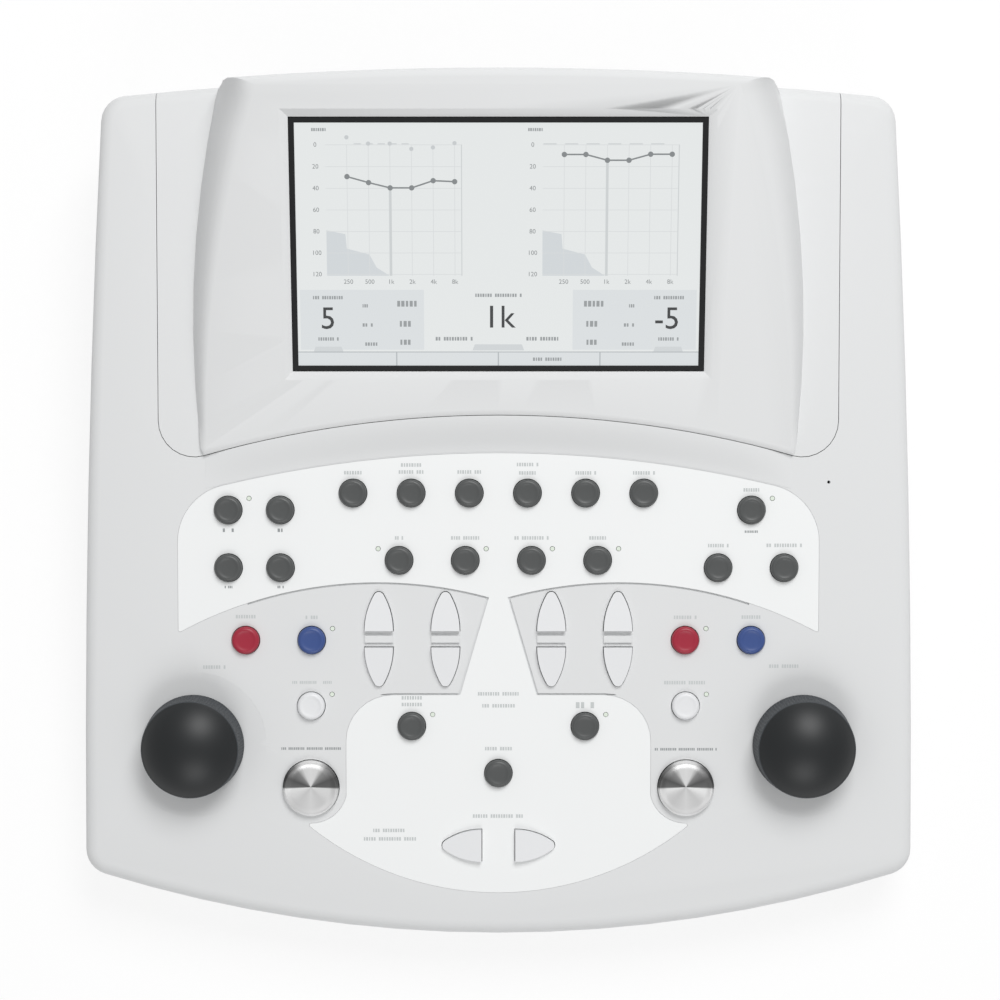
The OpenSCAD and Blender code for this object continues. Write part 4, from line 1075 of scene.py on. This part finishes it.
@dataclass
class PanelPrint:
    """The marks that are printed on the deck and its overlay.

    Attributes:
        lift: their height over the deck.
        pale: the pale words of each key.
        dark: the darker words and symbols of each key.
        free: x, y and width of each word that stands apart from the keys.
        free_height: height of those words.
    """

    lift: float = 0.03
    pale: dict[str, tuple[Label, ...]] = field(default_factory=lambda: {
        "top_key_1": (Label(8.7, 8),),
        "top_key_2": (Label(9.0, 11), Label(12.0, 9)),
        "top_key_3": (Label(9.0, 10.5),),
        "top_key_4": (Label(8.6, 7.6), Label(12.2, 9.6)),
        "top_key_5": (Label(8.6, 9.2),),
        "top_key_6": (Label(8.6, 9.8),),
        "middle_key_1": (Label(9.6, 3.8),),
        "middle_key_2": (Label(9.6, 12.5),),
        "middle_key_3": (Label(9.6, 15),),
        "middle_key_4": (Label(9.6, 7.6),),
        "right_key_1": (Label(8.6, 7.2),),
        "right_key_2": (Label(9.5, 9.2),),
        "right_key_3": (Label(9.6, 15.5),),
        "left_red_key": (Label(10.1, 8.8),),
        "left_blue_key": (Label(9.8, 5.6),),
        "right_red_key": (Label(9.8, 10.2),),
        "right_blue_key": (Label(9.9, 8.4),),
        "left_white_key": (Label(10.1, 10.8, -3.0, 1.2), Label(10.1, 4.8, 6.6, 1.2)),
        "right_white_key": (Label(10.0, 18, -0.4),),
        "centre_key_1": (Label(9.3, 9), Label(12.2, 9)),
        "centre_key_2": (Label(9.0, 8.4, 0, 2.6),),
        "centre_key_3": (Label(10.6, 12),),
        "frequency_down_key": (Label(12.6, 22, 15.6),),
    })
    dark: dict[str, tuple[Label, ...]] = field(default_factory=lambda: {
        "left_key_1": (Label(-8.8, 1.5, -1.9, 1.5), Label(-8.8, 1.5, 1.9, 1.5)),
        "left_key_2": (Label(-8.8, 2.6, 0, 1.5),),
        "left_key_3": (Label(-8.4, 3.6, 0, 1.1),),
        "left_key_4": (Label(-8.4, 2.9, 0, 1.1),),
        "right_key_1": (Label(-9.4, 5.8, 0, 1.0),),
        "left_interrupter": (Label(16.9, 26, 0, 1.1),),
        "right_interrupter": (Label(16.6, 27, 0, 1.1),),
    })
    free: tuple[Place, ...] = (
        (0, -83.8, 18.0), (0, -89.0, 14.5), (-122.6, -72.2, 10), (123.2, -71.8, 13),
        (-47.5, -143.3, 14), (-47.0, -147.0, 23),
    )
    free_height: float = 1.5

    def place_of(self, node: str) -> tuple[float, float]:
        """The place of a key's centre on the deck."""
        low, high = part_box(node)
        return DECK.place((low + high) / 2)

    def build(self) -> None:
        """Makes the marks."""
        pale = Shape("printed_marks")
        self.add_labels(pale, self.pale)
        for x, y, w in self.free:
            pale.word(DECK, x, y, (w, self.free_height), self.lift)
        pale.finish([PRINT_GREY.build()])
        dark = Shape("printed_dark_marks")
        self.add_labels(dark, self.dark)
        dark.finish([PRINT_DARK.build()])

    def add_labels(self, shape: Shape, labels: dict[str, tuple[Label, ...]]) -> None:
        """Adds the words of a set of labels.

        Args:
            shape: the mesh that takes them.
            labels: the labels by key.
        """
        for node, group in labels.items():
            x, y = self.place_of(node)
            for label in group:
                size = (label.width, label.height)
                shape.word(DECK, x + label.right, y + label.up, size, self.lift)


# ------------------------------ the picture's setting


@dataclass(frozen=True)
class Lamp:
    """A square soft light.

    Attributes:
        name: its name.
        place: where it hangs, in metres.
        size: its side, in metres.
        power: its power, in watts.
    """

    name: str
    place: Place
    size: float
    power: float


@dataclass
class Studio:
    """The table, the soft light and the camera.

    Attributes:
        distance: from the camera to the middle of the deck.
        elevation: the camera's angle above the horizon.
        lens: the camera's focal length.
        sensor: the width of its sensor.
        reach: how far the camera sees, in metres.
        target: the place that the camera looks at.
        floor_size: the table top's side, in metres.
        floor_grey: the table top's colour, as linear light.
        floor_white: the share of plain white in what the camera sees of the table top.
        sky: strength of the surrounding light.
        lamps: a large light at the back right and a weak one at the front.
        aim: the place that the lamps face, in metres.
    """

    distance: float = 1000.0
    elevation: float = 88.0
    lens: float = 83.74
    sensor: float = 36
    reach: float = 20
    target: Place = (0.7, 3.7, 50.0)
    floor_size: float = 6.0
    floor_grey: float = 0.95
    floor_white: float = 0.82
    sky: float = 0.44
    lamps: tuple[Lamp, ...] = (
        Lamp("back_light", (0.42, 1.25, 1.8), size=1.1, power=30),
        Lamp("front_light", (0.1, -1.9, 1.6), size=1.2, power=14),
    )
    aim: Place = (0, 0, 0.05)

    def build(self) -> None:
        """Makes the setting."""
        scene = bpy.context.scene
        scene.view_settings.view_transform = "Standard"
        self.build_floor()
        self.build_world(scene)
        for lamp in self.lamps:
            self.build_lamp(lamp)
        self.build_camera(scene)

    def build_floor(self) -> None:
        """The pale table top."""
        shape = bmesh.new()
        bmesh.ops.create_grid(shape, x_segments=1, y_segments=1, size=self.floor_size / 2)
        mesh = bpy.data.meshes.new("table_top")
        shape.to_mesh(mesh)
        shape.free()
        floor = bpy.data.objects.new("table_top", mesh)
        bpy.context.scene.collection.objects.link(floor)
        floor.data.materials.append(self.floor_material())

    def floor_material(self) -> bpy.types.Material:
        """White that takes the light as it is, and looks a little brighter to the camera.

        Returns:
            The material.
        """
        mat = bpy.data.materials.new("table")
        mat.use_nodes = True
        nodes, links = mat.node_tree.nodes, mat.node_tree.links
        nodes.remove(nodes["Principled BSDF"])
        matt = nodes.new("ShaderNodeBsdfDiffuse")
        matt.inputs["Color"].default_value = (self.floor_grey, self.floor_grey, self.floor_grey, 1)
        white = nodes.new("ShaderNodeEmission")
        white.inputs["Strength"].default_value = 1
        path = nodes.new("ShaderNodeLightPath")
        seen = maths(nodes, "ADD")
        seen_all = maths(nodes, "ADD")
        share = maths(nodes, "MULTIPLY", self.floor_white)
        share.use_clamp = True
        mix = nodes.new("ShaderNodeMixShader")
        join(links, (
            (path, "Is Camera Ray", seen, 0), (path, "Is Glossy Ray", seen, 1),
            (seen, 0, seen_all, 0), (path, "Is Transmission Ray", seen_all, 1),
            (seen_all, 0, share, 0), (share, 0, mix, "Fac"), (matt, 0, mix, 1),
            (white, 0, mix, 2),
        ))
        links.new(mix.outputs[0], nodes["Material Output"].inputs["Surface"])
        return mat

    def build_world(self, scene: bpy.types.Scene) -> None:
        """An even, pale surrounding light.

        Args:
            scene: the scene that it lights.
        """
        world = bpy.data.worlds.new("surroundings")
        world.use_nodes = True
        sky = world.node_tree.nodes["Background"]
        sky.inputs["Color"].default_value = (1, 1, 1, 1)
        sky.inputs["Strength"].default_value = self.sky
        scene.world = world

    def build_lamp(self, lamp: Lamp) -> None:
        """Adds a lamp that faces the object.

        Args:
            lamp: the lamp.
        """
        data = bpy.data.lights.new(lamp.name, "AREA")
        data.size = lamp.size
        data.energy = lamp.power
        light = bpy.data.objects.new(lamp.name, data)
        light.location = lamp.place
        light.rotation_mode = "QUATERNION"
        light.rotation_quaternion = (Vector(self.aim) - Vector(lamp.place)).to_track_quat("-Z", "Y")
        bpy.context.scene.collection.objects.link(light)

    def build_camera(self, scene: bpy.types.Scene) -> None:
        """The camera, almost straight above the desk unit.

        Args:
            scene: the scene that it looks at.
        """
        data = bpy.data.cameras.new("camera")
        data.sensor_width = self.sensor
        data.lens = self.lens
        data.clip_end = self.reach
        camera = bpy.data.objects.new("camera", data)
        rise = math.radians(self.elevation)
        back = Vector((0, -math.cos(rise), math.sin(rise)))
        camera.location = (Vector(self.target) + back * self.distance) * MM
        camera.rotation_euler = (math.radians(90 - self.elevation), 0, 0)
        scene.collection.objects.link(camera)
        scene.camera = camera


# ------------------------------ all of it


def main() -> None:
    """Builds the scene and reports each piece."""
    logging.basicConfig(level=logging.INFO, format="%(name)s: %(message)s")
    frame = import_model()
    nodes = frame["nodes"]
    Case(nodes).build()
    Keys(nodes).build()
    DisplayUnit(nodes).build()
    for name in ("left_dial", "right_dial"):
        Dial(name).build()
    PanelPrint().build()
    Studio().build()


if __name__ == "__main__":
    main()
